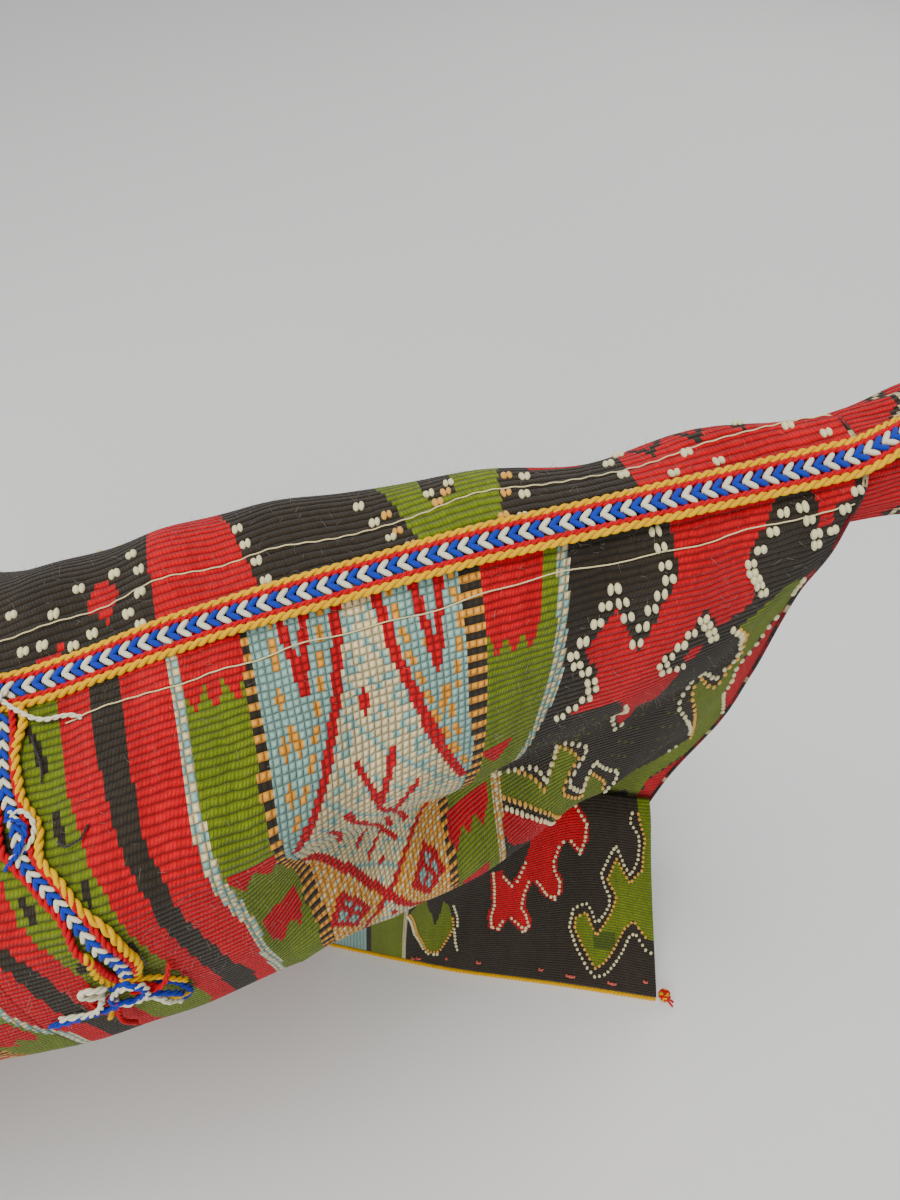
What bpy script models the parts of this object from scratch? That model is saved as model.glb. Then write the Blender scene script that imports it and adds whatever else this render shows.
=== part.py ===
"""A goblet drum lying in its woven carrying bag.

The bag stands on the floor on a flat base panel. Its front and back cloths meet along a braided
ridge on top, which runs along X. The drum lies in the upper roll of the bag, head to -X, on a bed
of padding, and slides out through the open mouth at -X. A loose flap of the front cloth hangs to
the floor, and the cloth is gathered into a tail at +X.

Metres, +Z up, +Y to the back. The origin is on the underside of the base panel, and an empty
carries the whole part there.
"""

import math

import bmesh
import bpy
import numpy as np
from mathutils import Matrix, Vector

# Clearances
GAP = 0.0004  # between meshes that touch
CLOTH_CLEARANCE = 0.008  # between the padding and the cloth around it
BED_CLEARANCE = 0.005  # between the drum and the padding under it

# The lengths in Y below count from a line under the roll, and the base is this far behind it
ORIGIN_Y = 0.100

# Bag cloth
CLOTH = 0.003
SEAM = 0.0045  # between the two cloths where they meet under the ridge braid
BASE_THICKNESS = 0.004
BASE_MARGIN = 0.004  # the base panel's edge lies this far inside the cloth's foot
COLUMNS, FRONT_ROWS, BACK_ROWS = 27, 19, 13
BRAID_WIDTH = 0.0138
BRAID_THICKNESS = 0.0028
BRAID_LIFT = 0.0012
MOUTH_CORD = 0.005
HEM_CORD = 0.004
KNOT_RADIUS = 0.006
GIRTH_X = (-0.051, -0.021)  # the girth braid's place where it starts and where it ends
GIRTH_DIVISIONS, GIRTH_ROWS = 61, (2, 16)

# Control lines of the cloth, each with one point for each station from the mouth to the side fold.
# The front goes from the ridge over the roll to the foot, and the back goes over the top to the heel.
RIDGE = [(-0.335, -0.0200, 0.484), (-0.160, -0.0200, 0.478), (-0.0485, -0.0205, 0.478),
         (0.016, -0.0203, 0.4918), (0.042, -0.0205, 0.497), (0.080, -0.0220, 0.504),
         (0.121, -0.0235, 0.511), (0.160, -0.0270, 0.517), (0.204, -0.0300, 0.523),
         (0.258, -0.0345, 0.531)]
ROOF = [(-0.335, -0.066, 0.462), (-0.160, -0.066, 0.458), (-0.048, -0.066, 0.464),
        (0.017, -0.061, 0.479), (0.042, -0.057, 0.479), (0.078, -0.052, 0.478),
        (0.118, -0.050, 0.482), (0.150, -0.049, 0.489), (0.203, -0.0465, 0.499),
        (0.254, -0.0445, 0.5225)]
CREASE = [(-0.335, -0.098, 0.420), (-0.160, -0.099, 0.420), (-0.050, -0.102, 0.4315),
          (0.0158, -0.0943, 0.4500), (0.0383, -0.0855, 0.4436), (0.072, -0.072, 0.4304),
          (0.1130, -0.0655, 0.4295), (0.1400, -0.061, 0.4375), (0.200, -0.0535, 0.4565),
          (0.2491, -0.0476, 0.5072)]
UNDER = [(-0.335, -0.104, 0.380), (-0.160, -0.104, 0.380), (-0.050, -0.106, 0.393),
         (0.017, -0.100, 0.400), (0.041, -0.0765, 0.4063), (0.0722, -0.0548, 0.3778),
         (0.1060, -0.0364, 0.3602), (0.1400, -0.0260, 0.3530), (0.2028, -0.0189, 0.3444),
         (0.2545, -0.0355, 0.4600)]
BELLY = [(-0.335, -0.096, 0.340), (-0.155, -0.098, 0.348), (-0.050, -0.1017, 0.3567),
         (0.020, -0.0955, 0.3600), (0.042, -0.0865, 0.3560), (0.072, -0.0725, 0.3265),
         (0.1030, -0.0610, 0.3111), (0.1420, -0.0450, 0.3000), (0.197, -0.0200, 0.2900),
         (0.2700, -0.0155, 0.3720)]
TUCK = [(-0.335, -0.055, 0.265), (-0.155, -0.058, 0.272), (-0.055, -0.062, 0.285),
        (0.018, -0.058, 0.285), (0.042, -0.050, 0.280), (0.075, -0.034, 0.255),
        (0.105, -0.020, 0.245), (0.145, -0.004, 0.235), (0.205, 0.020, 0.225),
        (0.2805, 0.003, 0.288)]
SHIN = [(-0.335, -0.005, 0.14), (-0.155, -0.005, 0.14), (-0.060, -0.005, 0.14),
        (0.016, 0.000, 0.14), (0.042, 0.006, 0.14), (0.078, 0.018, 0.14),
        (0.110, 0.032, 0.14), (0.150, 0.042, 0.14), (0.207, 0.052, 0.14),
        (0.2763, 0.0215, 0.190)]
FOOT_Z = BASE_THICKNESS + GAP
FOOT = [(x, y, FOOT_Z) for x, y in [
    (-0.335, 0.030), (-0.155, 0.033), (-0.060, 0.040), (0.016, 0.052), (0.042, 0.058),
    (0.078, 0.064), (0.110, 0.070), (0.150, 0.070), (0.207, 0.062), (0.268, 0.040)]]
TOP = [(-0.335, 0.022, 0.498), (-0.160, 0.022, 0.490), (-0.0485, 0.0180, 0.4850),
       (0.016, 0.022, 0.4975), (0.042, 0.020, 0.5005), (0.080, 0.016, 0.5045),
       (0.121, 0.010, 0.5090), (0.160, 0.005, 0.5145), (0.204, -0.0030, 0.5225),
       (0.258, -0.0160, 0.5340)]
SHOULDER = [(-0.335, 0.098, 0.460), (-0.160, 0.094, 0.450), (-0.0485, 0.072, 0.436),
            (0.016, 0.064, 0.448), (0.042, 0.060, 0.452), (0.080, 0.053, 0.455),
            (0.121, 0.045, 0.460), (0.160, 0.037, 0.468), (0.204, 0.024, 0.482),
            (0.2535, -0.006, 0.508)]
SIDE = [(-0.335, 0.134, 0.360), (-0.160, 0.132, 0.358), (-0.0485, 0.112, 0.355),
        (0.016, 0.102, 0.355), (0.042, 0.098, 0.355), (0.080, 0.092, 0.355),
        (0.121, 0.084, 0.358), (0.160, 0.074, 0.360), (0.204, 0.055, 0.372),
        (0.2575, -0.0215, 0.455)]
HIP = [(-0.335, 0.140, 0.23), (-0.160, 0.138, 0.23), (-0.0485, 0.126, 0.23),
       (0.016, 0.122, 0.23), (0.042, 0.120, 0.23), (0.080, 0.117, 0.23),
       (0.121, 0.113, 0.23), (0.160, 0.106, 0.23), (0.204, 0.088, 0.24),
       (0.275, 0.003, 0.355)]
SHANK = [(-0.335, 0.150, 0.115), (-0.160, 0.149, 0.115), (-0.0485, 0.142, 0.115),
         (0.016, 0.138, 0.115), (0.042, 0.137, 0.115), (0.080, 0.135, 0.115),
         (0.121, 0.132, 0.115), (0.160, 0.126, 0.115), (0.204, 0.108, 0.120),
         (0.279, 0.030, 0.240)]
HEEL = [(x, y, FOOT_Z) for x, y in [
    (-0.335, 0.158), (-0.160, 0.157), (-0.0485, 0.150), (0.016, 0.146), (0.042, 0.145),
    (0.080, 0.143), (0.121, 0.140), (0.160, 0.134), (0.204, 0.118), (0.268, 0.056)]]
FRONT = [RIDGE, ROOF, CREASE, UNDER, BELLY, TUCK, SHIN, FOOT]
BACK = [RIDGE, TOP, SHOULDER, SIDE, HIP, SHANK, HEEL]
MOUTH_X, FOLD_X = RIDGE[0][0], RIDGE[-1][0]

# Flap: its top edge (x, z) is sewn to the front cloth, and its hem (x, y) lies on the floor
FLAP_TOP = [(0.0300, 0.085), (0.0900, 0.120), (0.1500, 0.140), (0.2100, 0.155), (0.2700, 0.165)]
FLAP_HEM = [(0.0252, 0.0363), (0.0784, 0.0101), (0.1158, -0.0077), (0.198, -0.0411),
            (0.2671, -0.0707)]
FLAP_SAG = 0.003
FLAP_COLUMNS, FLAP_ROWS = 13, 6

# Tail: a roll of gathered cloth, thick where it ends
TAIL = [(0.2600, 0.0215), (0.2750, 0.0225), (0.2950, 0.0260), (0.3150, 0.0290),
        (0.3280, 0.0250), (0.3340, 0.0140)]
TAIL_AXIS_Y, TAIL_AXIS_Z, TAIL_RISE = -0.0195, 0.5120, 0.10
TAIL_SIDES = 20

# Padding
BED_ENDS = (-0.322, 0.214)
BED_LIP_Z = 0.225
NECK_BED_X = -0.100  # beyond it only the foot of the drum passes, and the bed is higher

# Drum, with its own axis along X; lengths count from the rim under the skin. Its foot sits where
# the bag narrows, so that a longer drum stands further out towards the mouth
FOOT_X = 0.069
AXIS_Y, AXIS_Z = 0.018, 0.370
DRUM_LENGTH = 0.387
HEAD_X = FOOT_X - DRUM_LENGTH
HEAD_RADIUS = 0.088
BOWL_RADIUS = 0.0922
NECK_RADIUS = 0.0415
BELL_RADIUS = 0.0600
# Outline from the lugs to the foot, for a drum with GOBLET_RUN between them; it stretches with the drum
GOBLET = [(0.043, 0.0895), (0.083, 0.0740), (0.123, 0.0540), (0.158, 0.0440), (0.193, NECK_RADIUS),
          (0.248, 0.0445), (0.293, 0.0510)]
GOBLET_RUN = 0.335
SHELL_WALL = 0.0035
SKIN_THICKNESS = 0.0005
BEAD_START, BEAD_DEPTH, BEAD_WIDTH = 0.012, 0.004, 0.0032
HOOP_WALL, HOOP_FLANGE = 0.0034, 0.0052
HOOP_TOP = 0.001
LUG_START, LUG_LENGTH, LUG_WIDTH, LUG_WALL = 0.034, 0.018, 0.016, 0.0021
BOLT_OUT = 0.009  # from the head's radius to the bolts
BOLT_CIRCLE = HEAD_RADIUS + BOLT_OUT
BOLT_COUNT = 6
BOLT_RADIUS, BOLT_CLEARANCE = 0.0020, 0.0003
BOLT_HEAD_RADIUS, BOLT_HEAD_HEIGHT = 0.0036, 0.0032
BOLT_STICKS_OUT = 0.005
RING_WIDTH, RING_DEPTH = 0.005, 0.006
TURNED_STEPS = 36


def new_collection(name):
    c = bpy.data.collections.new(name)
    bpy.context.scene.collection.children.link(c)
    return c


def material(name, color, roughness, metallic=0.0):
    m = bpy.data.materials.new(name)
    m.use_nodes = True
    s = m.node_tree.nodes["Principled BSDF"]
    s.inputs["Base Color"].default_value = (*color, 1.0)
    s.inputs["Roughness"].default_value = roughness
    s.inputs["Metallic"].default_value = metallic
    return m


def add_object(name, data, mat, collection=None):
    o = bpy.data.objects.new(name, data)
    (collection or PARTS).objects.link(o)
    o.parent = STAND
    if mat is not None:
        data.materials.append(mat)
    return o


def mesh_from(name, verts, faces):
    m = bpy.data.meshes.new(name)
    m.from_pydata([tuple(v) for v in verts], [], faces)
    m.update()
    return m


def slopes(xs, ys):
    """Tangents of a curve through (xs, ys) that doesn't overshoot between its points."""
    h = np.diff(xs)[:, None]
    d = np.diff(ys, axis=0) / h
    w1, w2 = 2 * h[1:] + h[:-1], h[1:] + 2 * h[:-1]
    safe = np.where(d[1:] * d[:-1] > 0, 1, np.nan)
    inner = (w1 + w2) / (w1 / (d[:-1] * safe) + w2 / (d[1:] * safe))
    return np.vstack([d[:1], np.nan_to_num(inner), d[-1:]])


def curve_at(xs, ys, x):
    """The smooth curve through the points (xs, ys), read at x."""
    xs, ys, x = np.asarray(xs, float), np.asarray(ys, float), np.asarray(x, float)
    m = slopes(xs, ys)
    i = np.clip(np.searchsorted(xs, x) - 1, 0, len(xs) - 2)
    h = (xs[i + 1] - xs[i])[:, None]
    t = ((x - xs[i]) / (xs[i + 1] - xs[i]))[:, None]
    return (
        (1 + 2 * t) * (1 - t) ** 2 * ys[i] + t * (1 - t) ** 2 * h * m[i]
        + t * t * (3 - 2 * t) * ys[i + 1] + t * t * (t - 1) * h * m[i + 1]
    )


def cloth_grid(lines, stations, rows):
    """Points of a cloth: smooth along each control line, then smooth across the lines."""
    at = [p[0] for p in RIDGE]
    net = np.stack([curve_at(at, line, stations) for line in lines])
    grid = []
    for k in range(len(stations)):
        column = net[:, k]
        along = np.concatenate([[0], np.cumsum(np.linalg.norm(np.diff(column, axis=0), axis=1))])
        grid.append(curve_at(along, column, np.linspace(0, along[-1], rows)))
    return np.array(grid)


def grid_mesh(name, grid, flip=False):
    n, m = grid.shape[:2]
    faces = []
    for i in range(n - 1):
        for j in range(m - 1):
            f = [i * m + j, (i + 1) * m + j, (i + 1) * m + j + 1, i * m + j + 1]
            faces.append(f[::-1] if flip else f)
    return mesh_from(name, grid.reshape(-1, 3), faces)


def sheet(name, grid, mat, thickness, flip=False):
    """A cloth whose outer side is the grid, made thick inwards."""
    o = add_object(name, grid_mesh(name, grid, flip), mat)
    s = o.modifiers.new("Solidify", "SOLIDIFY")
    s.thickness, s.offset, s.use_even_offset = thickness, -1, False
    return o


def strip(name, centre, across, normal, width, thickness, mat):
    """A flat band along a centreline, with its underside on the line."""
    h = width / 2
    corners = [centre - across * h, centre + across * h,
               centre + across * h + normal * thickness, centre - across * h + normal * thickness]
    ring = np.stack(corners, axis=1)
    n = len(centre)
    faces = [[k * 4 + j, (k + 1) * 4 + j, (k + 1) * 4 + (j + 1) % 4, k * 4 + (j + 1) % 4]
             for k in range(n - 1) for j in range(4)]
    faces += [[0, 1, 2, 3], [(n - 1) * 4 + j for j in (3, 2, 1, 0)]]
    m = mesh_from(name, ring.reshape(-1, 3), faces)
    outwards(m)
    return add_object(name, m, mat)


def outwards(m):
    b = bmesh.new()
    b.from_mesh(m)
    bmesh.ops.recalc_face_normals(b, faces=b.faces)
    if b.calc_volume(signed=True) < 0:
        bmesh.ops.reverse_faces(b, faces=b.faces)
    b.to_mesh(m)
    b.free()


def unit(v):
    return v / np.linalg.norm(v, axis=-1, keepdims=True)


def tube(name, points, radius, mat):
    """A cord along points, a curve with filled caps."""
    c = bpy.data.curves.new(name, "CURVE")
    c.dimensions = "3D"
    c.bevel_depth, c.bevel_resolution, c.use_fill_caps = radius, 2, True
    s = c.splines.new("POLY")
    s.points.add(len(points) - 1)
    for p, q in zip(s.points, points):
        p.co = (*q, 1)
    return add_object(name, c, mat)


def turned(name, profile, mat, steps=TURNED_STEPS, origin=(HEAD_X, AXIS_Y, AXIS_Z)):
    """A closed profile of (length, radius) points, turned about the drum's axis."""
    b = bmesh.new()
    ends = profile[1:] + profile[:1]
    area = sum(t * s - u * r for (t, r), (u, s) in zip(profile, ends))
    verts = [b.verts.new((r, 0, t)) for t, r in (profile if area > 0 else reversed(profile))]
    for k in range(len(verts)):
        if verts[k].co.x > 1e-6 or verts[(k + 1) % len(verts)].co.x > 1e-6:
            b.edges.new((verts[k], verts[(k + 1) % len(verts)]))
    m = bpy.data.meshes.new(name)
    b.to_mesh(m)
    b.free()
    o = add_object(name, m, mat)
    s = o.modifiers.new("Screw", "SCREW")
    s.steps = s.render_steps = steps
    s.use_merge_vertices, s.merge_threshold = True, 0.00005
    o.rotation_euler = (0, math.pi / 2, 0)
    o.location = origin
    return o


def rod(radius, start, end, sides=12):
    """A closed rod along +X from start to end, centred on the X axis, in a bmesh."""
    b = bmesh.new()
    turn = Matrix.Rotation(math.pi / 2, 4, "Y")
    bmesh.ops.create_cone(b, cap_ends=True, segments=sides, radius1=radius, radius2=radius,
                          depth=end - start, matrix=Matrix.Translation(((start + end) / 2, 0, 0)) @ turn)
    return b


def mesh_of(b, name):
    m = bpy.data.meshes.new(name)
    b.to_mesh(m)
    b.free()
    return m


def cut_with(o, cutter, operation="DIFFERENCE"):
    cutter.hide_render = True
    cutter.display_type = "WIRE"
    mod = o.modifiers.new("Cut", "BOOLEAN")
    mod.operation, mod.object, mod.solver = operation, cutter, "EXACT"


# The scene
for o in list(bpy.data.objects):
    bpy.data.objects.remove(o, do_unlink=True)
PARTS = new_collection("goblet_drum_in_bag")
CUTTERS = new_collection("cutters")
STAND = bpy.data.objects.new("stand_point", None)
STAND.location = (0, -ORIGIN_Y, 0)
PARTS.objects.link(STAND)

KILIM = material("kilim", (0.30, 0.035, 0.035), 0.9)
LINING = material("kilim_back", (0.10, 0.08, 0.06), 0.9)
FLAP_CLOTH = material("kilim_flap", (0.06, 0.05, 0.04), 0.9)
BRAID = material("braid", (0.80, 0.50, 0.05), 0.85)
CORD = material("yellow_cord", (0.85, 0.55, 0.02), 0.8)
PAD = material("wool_padding", (0.62, 0.55, 0.42), 0.95)
BASE = material("base_panel", (0.12, 0.09, 0.07), 0.9)
METAL = material("cast_aluminium", (0.62, 0.60, 0.57), 0.35, 1.0)
STEEL = material("plated_steel", (0.75, 0.75, 0.76), 0.2, 1.0)
SKIN = material("drum_skin", (0.85, 0.82, 0.74), 0.5)
RUBBER = material("rubber", (0.03, 0.03, 0.03), 0.7)


def build_cloth():
    stations = np.linspace(MOUTH_X, FOLD_X, COLUMNS)
    front = cloth_grid(FRONT, stations, FRONT_ROWS)
    back = cloth_grid(BACK, stations, BACK_ROWS)
    back[:, 0] += unit(back[:, 1] - back[:, 0]) * SEAM
    sheet("bag_front", front, KILIM, CLOTH, flip=True)
    sheet("bag_back", back, LINING, CLOTH)
    return stations, front, back


def cloth_y(grid, x, z):
    """How far back the cloth is at the height z, near the section at x."""
    k = int(np.argmin(np.abs(grid[:, 0, 0] - x)))
    column = grid[k]
    start = int(np.argmax(np.abs(column[:, 1])))
    low = column[2:] if start < 2 else column[min(start, 4):]
    order = np.argsort(low[:, 2])
    return float(np.interp(z, low[order, 2], low[order, 1]))


def build_base():
    """A flat panel between the two feet of the cloth, which are sewn along its edges."""
    edge = [(x, y - BASE_MARGIN) for x, y, _ in FOOT] + [(x, y + BASE_MARGIN) for x, y, _ in HEEL[::-1]]
    n = len(edge)
    verts = [(x, y, z) for z in (0, BASE_THICKNESS) for x, y in edge]
    faces = [list(range(n))[::-1], list(range(n, 2 * n))]
    faces += [[k, (k + 1) % n, n + (k + 1) % n, n + k] for k in range(n)]
    m = mesh_from("bag_base", verts, faces)
    outwards(m)
    add_object("bag_base", m, BASE)


def build_flap(front):
    at = [x for x, _ in FLAP_TOP]
    seam = CLOTH + SEAM
    sewn = [(x, cloth_y(front, x, z) - seam, z) for x, z in FLAP_TOP]
    x = np.linspace(at[0], at[-1], FLAP_COLUMNS)
    top = curve_at(at, sewn, x)
    hem_line = [(u, v, HEM_CORD + 0.6 * CLOTH + GAP) for u, v in FLAP_HEM]
    hem = curve_at(at, hem_line, x)
    t = np.linspace(0, 1, FLAP_ROWS)[None, :, None]
    grid = top[:, None] * (1 - t) + hem[:, None] * t
    grid[..., 1] += FLAP_SAG * np.sin(math.pi * t[..., 0])
    sheet("bag_flap", grid, FLAP_CLOTH, CLOTH, flip=True)
    line = hem.copy()
    line[:, 2] = HEM_CORD / 2
    tube("hem_cord", line, HEM_CORD / 2, CORD)
    corner = Vector(line[-1]) + Vector((KNOT_RADIUS + 2 * GAP, 0, 0))
    b = bmesh.new()
    bmesh.ops.create_uvsphere(b, u_segments=12, v_segments=8, radius=KNOT_RADIUS)
    o = add_object("corner_knot", mesh_of(b, "corner_knot"), CORD)
    o.location = (corner.x, corner.y, KNOT_RADIUS)


def build_tail():
    """A round roll of cloth, with its sections on one rising line."""
    verts, faces = [], []
    for x, r in TAIL:
        for k in range(TAIL_SIDES):
            a = 2 * math.pi * k / TAIL_SIDES
            z = TAIL_AXIS_Z + TAIL_RISE * (x - TAIL[0][0])
            verts.append((x, TAIL_AXIS_Y + r * math.cos(a), z + r * math.sin(a)))
    n = len(TAIL)
    for i in range(n - 1):
        for k in range(TAIL_SIDES):
            q = (k + 1) % TAIL_SIDES
            faces.append([i * TAIL_SIDES + k, i * TAIL_SIDES + q,
                          (i + 1) * TAIL_SIDES + q, (i + 1) * TAIL_SIDES + k])
    faces.append(list(range(TAIL_SIDES)))
    faces.append([(n - 1) * TAIL_SIDES + k for k in range(TAIL_SIDES)][::-1])
    m = mesh_from("bag_tail", verts, faces)
    outwards(m)
    add_object("bag_tail", m, KILIM)


def build_braids(stations, front, back):
    """Bands sewn on the cloth: one along the ridge, one down the front around the roll."""
    ridge, ahead, behind = front[:, 0], front[:, 1], back[:, 1]
    across = unit(ahead - behind)
    along = unit(np.gradient(ridge, axis=0))
    normal = unit(np.cross(across, along))
    normal *= np.sign(normal[:, 2:3])
    strip("ridge_braid", ridge + normal * BRAID_LIFT, across, normal, BRAID_WIDTH, BRAID_THICKNESS, BRAID)

    rows = np.arange(*GIRTH_ROWS)
    path = cloth_grid(FRONT, np.linspace(*GIRTH_X, len(rows) + 1), GIRTH_DIVISIONS)
    step = np.arange(len(rows))
    line, below, beside = path[step, rows], path[step, rows + 1], path[step + 1, rows]
    along = unit(np.gradient(line, axis=0))
    normal = unit(np.cross(beside - line, below - line))
    normal *= np.where(normal[:, 1:2] > 0, -1, 1)
    across = unit(np.cross(along, normal))
    strip("girth_braid", line + normal * (BRAID_LIFT + 0.0006), across, normal,
          BRAID_WIDTH, BRAID_THICKNESS, BRAID)
    end = line[-1] + along[-1] * (KNOT_RADIUS + GAP * 2) + normal[-1] * (BRAID_LIFT + KNOT_RADIUS)
    b = bmesh.new()
    bmesh.ops.create_uvsphere(b, u_segments=12, v_segments=8, radius=KNOT_RADIUS)
    o = add_object("girth_knot", mesh_of(b, "girth_knot"), BRAID)
    o.location = end


def build_mouth_cord(front, back):
    """A cord sewn along the edge of the mouth, from the front foot over the top to the heel."""
    ring = np.vstack([front[0][::-1], back[0][1:]])
    ring[:, 0] = MOUTH_X - MOUTH_CORD / 2 - GAP
    ring[0, 2] = ring[-1, 2] = MOUTH_CORD / 2 + BASE_THICKNESS + GAP
    tube("mouth_cord", ring, MOUTH_CORD / 2, CORD)


def build_padding(front, back):
    """A bed under the drum: a loft whose sides keep clear of the cloth and whose top carries the drum."""
    bowl_top = AXIS_Z - BOLT_CIRCLE - BOLT_HEAD_RADIUS - BED_CLEARANCE
    bell_top = AXIS_Z - BELL_RADIUS - RING_WIDTH - BED_CLEARANCE
    places = [BED_ENDS[0], NECK_BED_X - 0.02, NECK_BED_X + 0.02, 0.02, 0.08, 0.13, 0.18, BED_ENDS[1]]
    verts = []
    for x in places:
        top = bowl_top if x < NECK_BED_X else bell_top
        heights = [FOOT_Z + GAP, 0.12, BED_LIP_Z, top]
        shrink = CLOTH + CLOTH_CLEARANCE
        fore = [(x, max(cloth_y(front, q, z) for q in (x - 0.012, x, x + 0.012)) + shrink, z)
                for z in heights]
        aft = [(x, min(cloth_y(back, q, z) for q in (x - 0.012, x, x + 0.012)) - shrink, z)
               for z in heights]
        verts += fore + aft[::-1]
    n, m = len(places), 8
    faces = [[i * m + k, i * m + (k + 1) % m, (i + 1) * m + (k + 1) % m, (i + 1) * m + k]
             for i in range(n - 1) for k in range(m)]
    faces += [list(range(m)), [(n - 1) * m + k for k in range(m)][::-1]]
    mesh = mesh_from("padding_bed", verts, faces)
    outwards(mesh)
    add_object("padding_bed", mesh, PAD)


def build_drum():
    lug_end = LUG_START + LUG_LENGTH
    stretch = (DRUM_LENGTH - lug_end) / GOBLET_RUN
    outer_points = [(0, HEAD_RADIUS), (BEAD_START + BEAD_DEPTH + 0.002, HEAD_RADIUS),
                    (LUG_START, BOWL_RADIUS), (lug_end, BOWL_RADIUS)]
    outer_points += [(lug_end + run * stretch, radius) for run, radius in GOBLET]
    outer_points += [(DRUM_LENGTH, BELL_RADIUS)]
    t = np.concatenate([[0], np.linspace(0.018, DRUM_LENGTH, 17)])
    outer = curve_at([p[0] for p in outer_points], [[p[1]] for p in outer_points], t)[:, 0]
    profile = list(zip(t, outer)) + list(zip(t[::-1], outer[::-1] - SHELL_WALL))
    turned("drum_shell", profile, METAL)

    inside = HEAD_RADIUS + GAP
    skirt = inside + SKIN_THICKNESS
    bead = inside + BEAD_WIDTH
    turned("drum_skin", [(-GAP - SKIN_THICKNESS, 0), (-GAP - SKIN_THICKNESS, skirt), (BEAD_START, skirt),
                         (BEAD_START, bead), (BEAD_START + BEAD_DEPTH, bead),
                         (BEAD_START + BEAD_DEPTH, inside), (-GAP, inside), (-GAP, 0)], SKIN)

    hoop_in = skirt + GAP
    flange_end = BEAD_START - GAP
    flange = flange_end - HOOP_FLANGE
    rim = BOLT_CIRCLE + BOLT_RADIUS + BOLT_CLEARANCE + 0.0022
    hoop = turned("tension_hoop", [(HOOP_TOP, hoop_in), (HOOP_TOP, hoop_in + HOOP_WALL),
                                   (flange, hoop_in + HOOP_WALL), (flange, rim), (flange_end, rim),
                                   (flange_end, hoop_in)], STEEL)
    holes = bmesh.new()
    bolt_head = flange - GAP
    bolt_end = lug_end + BOLT_STICKS_OUT
    shank = None
    head = None
    for k in range(BOLT_COUNT):
        angle = 2 * math.pi * (k + 0.5) / BOLT_COUNT
        y, z = AXIS_Y + BOLT_CIRCLE * math.cos(angle), AXIS_Z + BOLT_CIRCLE * math.sin(angle)
        place = Matrix.Translation((HEAD_X, y, z))
        hole = rod(BOLT_RADIUS + BOLT_CLEARANCE, 0, LUG_START - 0.01)
        hole.transform(place)
        part = mesh_of(hole, "hole")
        holes.from_mesh(part)
        bpy.data.meshes.remove(part)

        seat = BOWL_RADIUS + 2 * GAP
        lug_height = BOLT_CIRCLE + BOLT_RADIUS + BOLT_CLEARANCE + LUG_WALL - seat
        b = bmesh.new()
        bmesh.ops.create_cube(b, size=1)
        bmesh.ops.scale(b, vec=(LUG_LENGTH, lug_height, LUG_WIDTH), verts=b.verts)
        bmesh.ops.bevel(b, geom=[e for e in b.edges], offset=0.001, segments=1, affect="EDGES")
        bmesh.ops.translate(b, vec=(LUG_START + LUG_LENGTH / 2, seat + lug_height / 2, 0), verts=b.verts)
        b.transform(Matrix.Translation((HEAD_X, AXIS_Y, AXIS_Z)) @ Matrix.Rotation(angle, 4, "X"))
        lug = add_object(f"lug_{k + 1}", mesh_of(b, f"lug_{k + 1}"), STEEL)
        bore = rod(BOLT_RADIUS + BOLT_CLEARANCE, LUG_START - 0.01, lug_end + 0.01)
        bore.transform(place)
        cut_with(lug, add_object(f"lug_bore_{k + 1}", mesh_of(bore, "bore"), None, CUTTERS))

        if shank is None:
            shank = mesh_of(rod(BOLT_RADIUS, bolt_head - BOLT_HEAD_HEIGHT / 2, bolt_end), "shank")
            head = mesh_of(rod(BOLT_HEAD_RADIUS, bolt_head - BOLT_HEAD_HEIGHT, bolt_head, 6), "hex")
        bolt = add_object(f"tuning_bolt_{k + 1}", head.copy(), STEEL)
        shaft = add_object(f"shank_{k + 1}", shank.copy(), None, CUTTERS)
        bolt.location = shaft.location = (HEAD_X, y, z)
        cut_with(bolt, shaft, "UNION")
    cut_with(hoop, add_object("hoop_holes", mesh_of(holes, "hoop_holes"), None, CUTTERS))

    start = DRUM_LENGTH + GAP
    outside = BELL_RADIUS + RING_WIDTH / 2
    turned("foot_ring", [(start, outside), (start + RING_DEPTH, outside - 0.0015),
                         (start + RING_DEPTH, outside - RING_WIDTH - 0.001),
                         (start, outside - RING_WIDTH - SHELL_WALL / 2)], RUBBER)


stations, front, back = build_cloth()
build_base()
build_flap(front)
build_tail()
build_braids(stations, front, back)
build_mouth_cord(front, back)
build_padding(front, back)
build_drum()
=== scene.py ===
"""A goblet drum lying in its old kilim carrying bag, as it stands on the floor.

The sections follow the bag as it is put together: the woven cloths, the flap, the tail, the base,
the braids and cords sewn along the seams, the wadding, and then the drum inside. Lengths are in
metres unless a name ends in MM. Cloth places are given as (a, q): a runs along the ridge and q is
the distance down the cloth from the ridge, both in millimetres.
"""

import math

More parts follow.
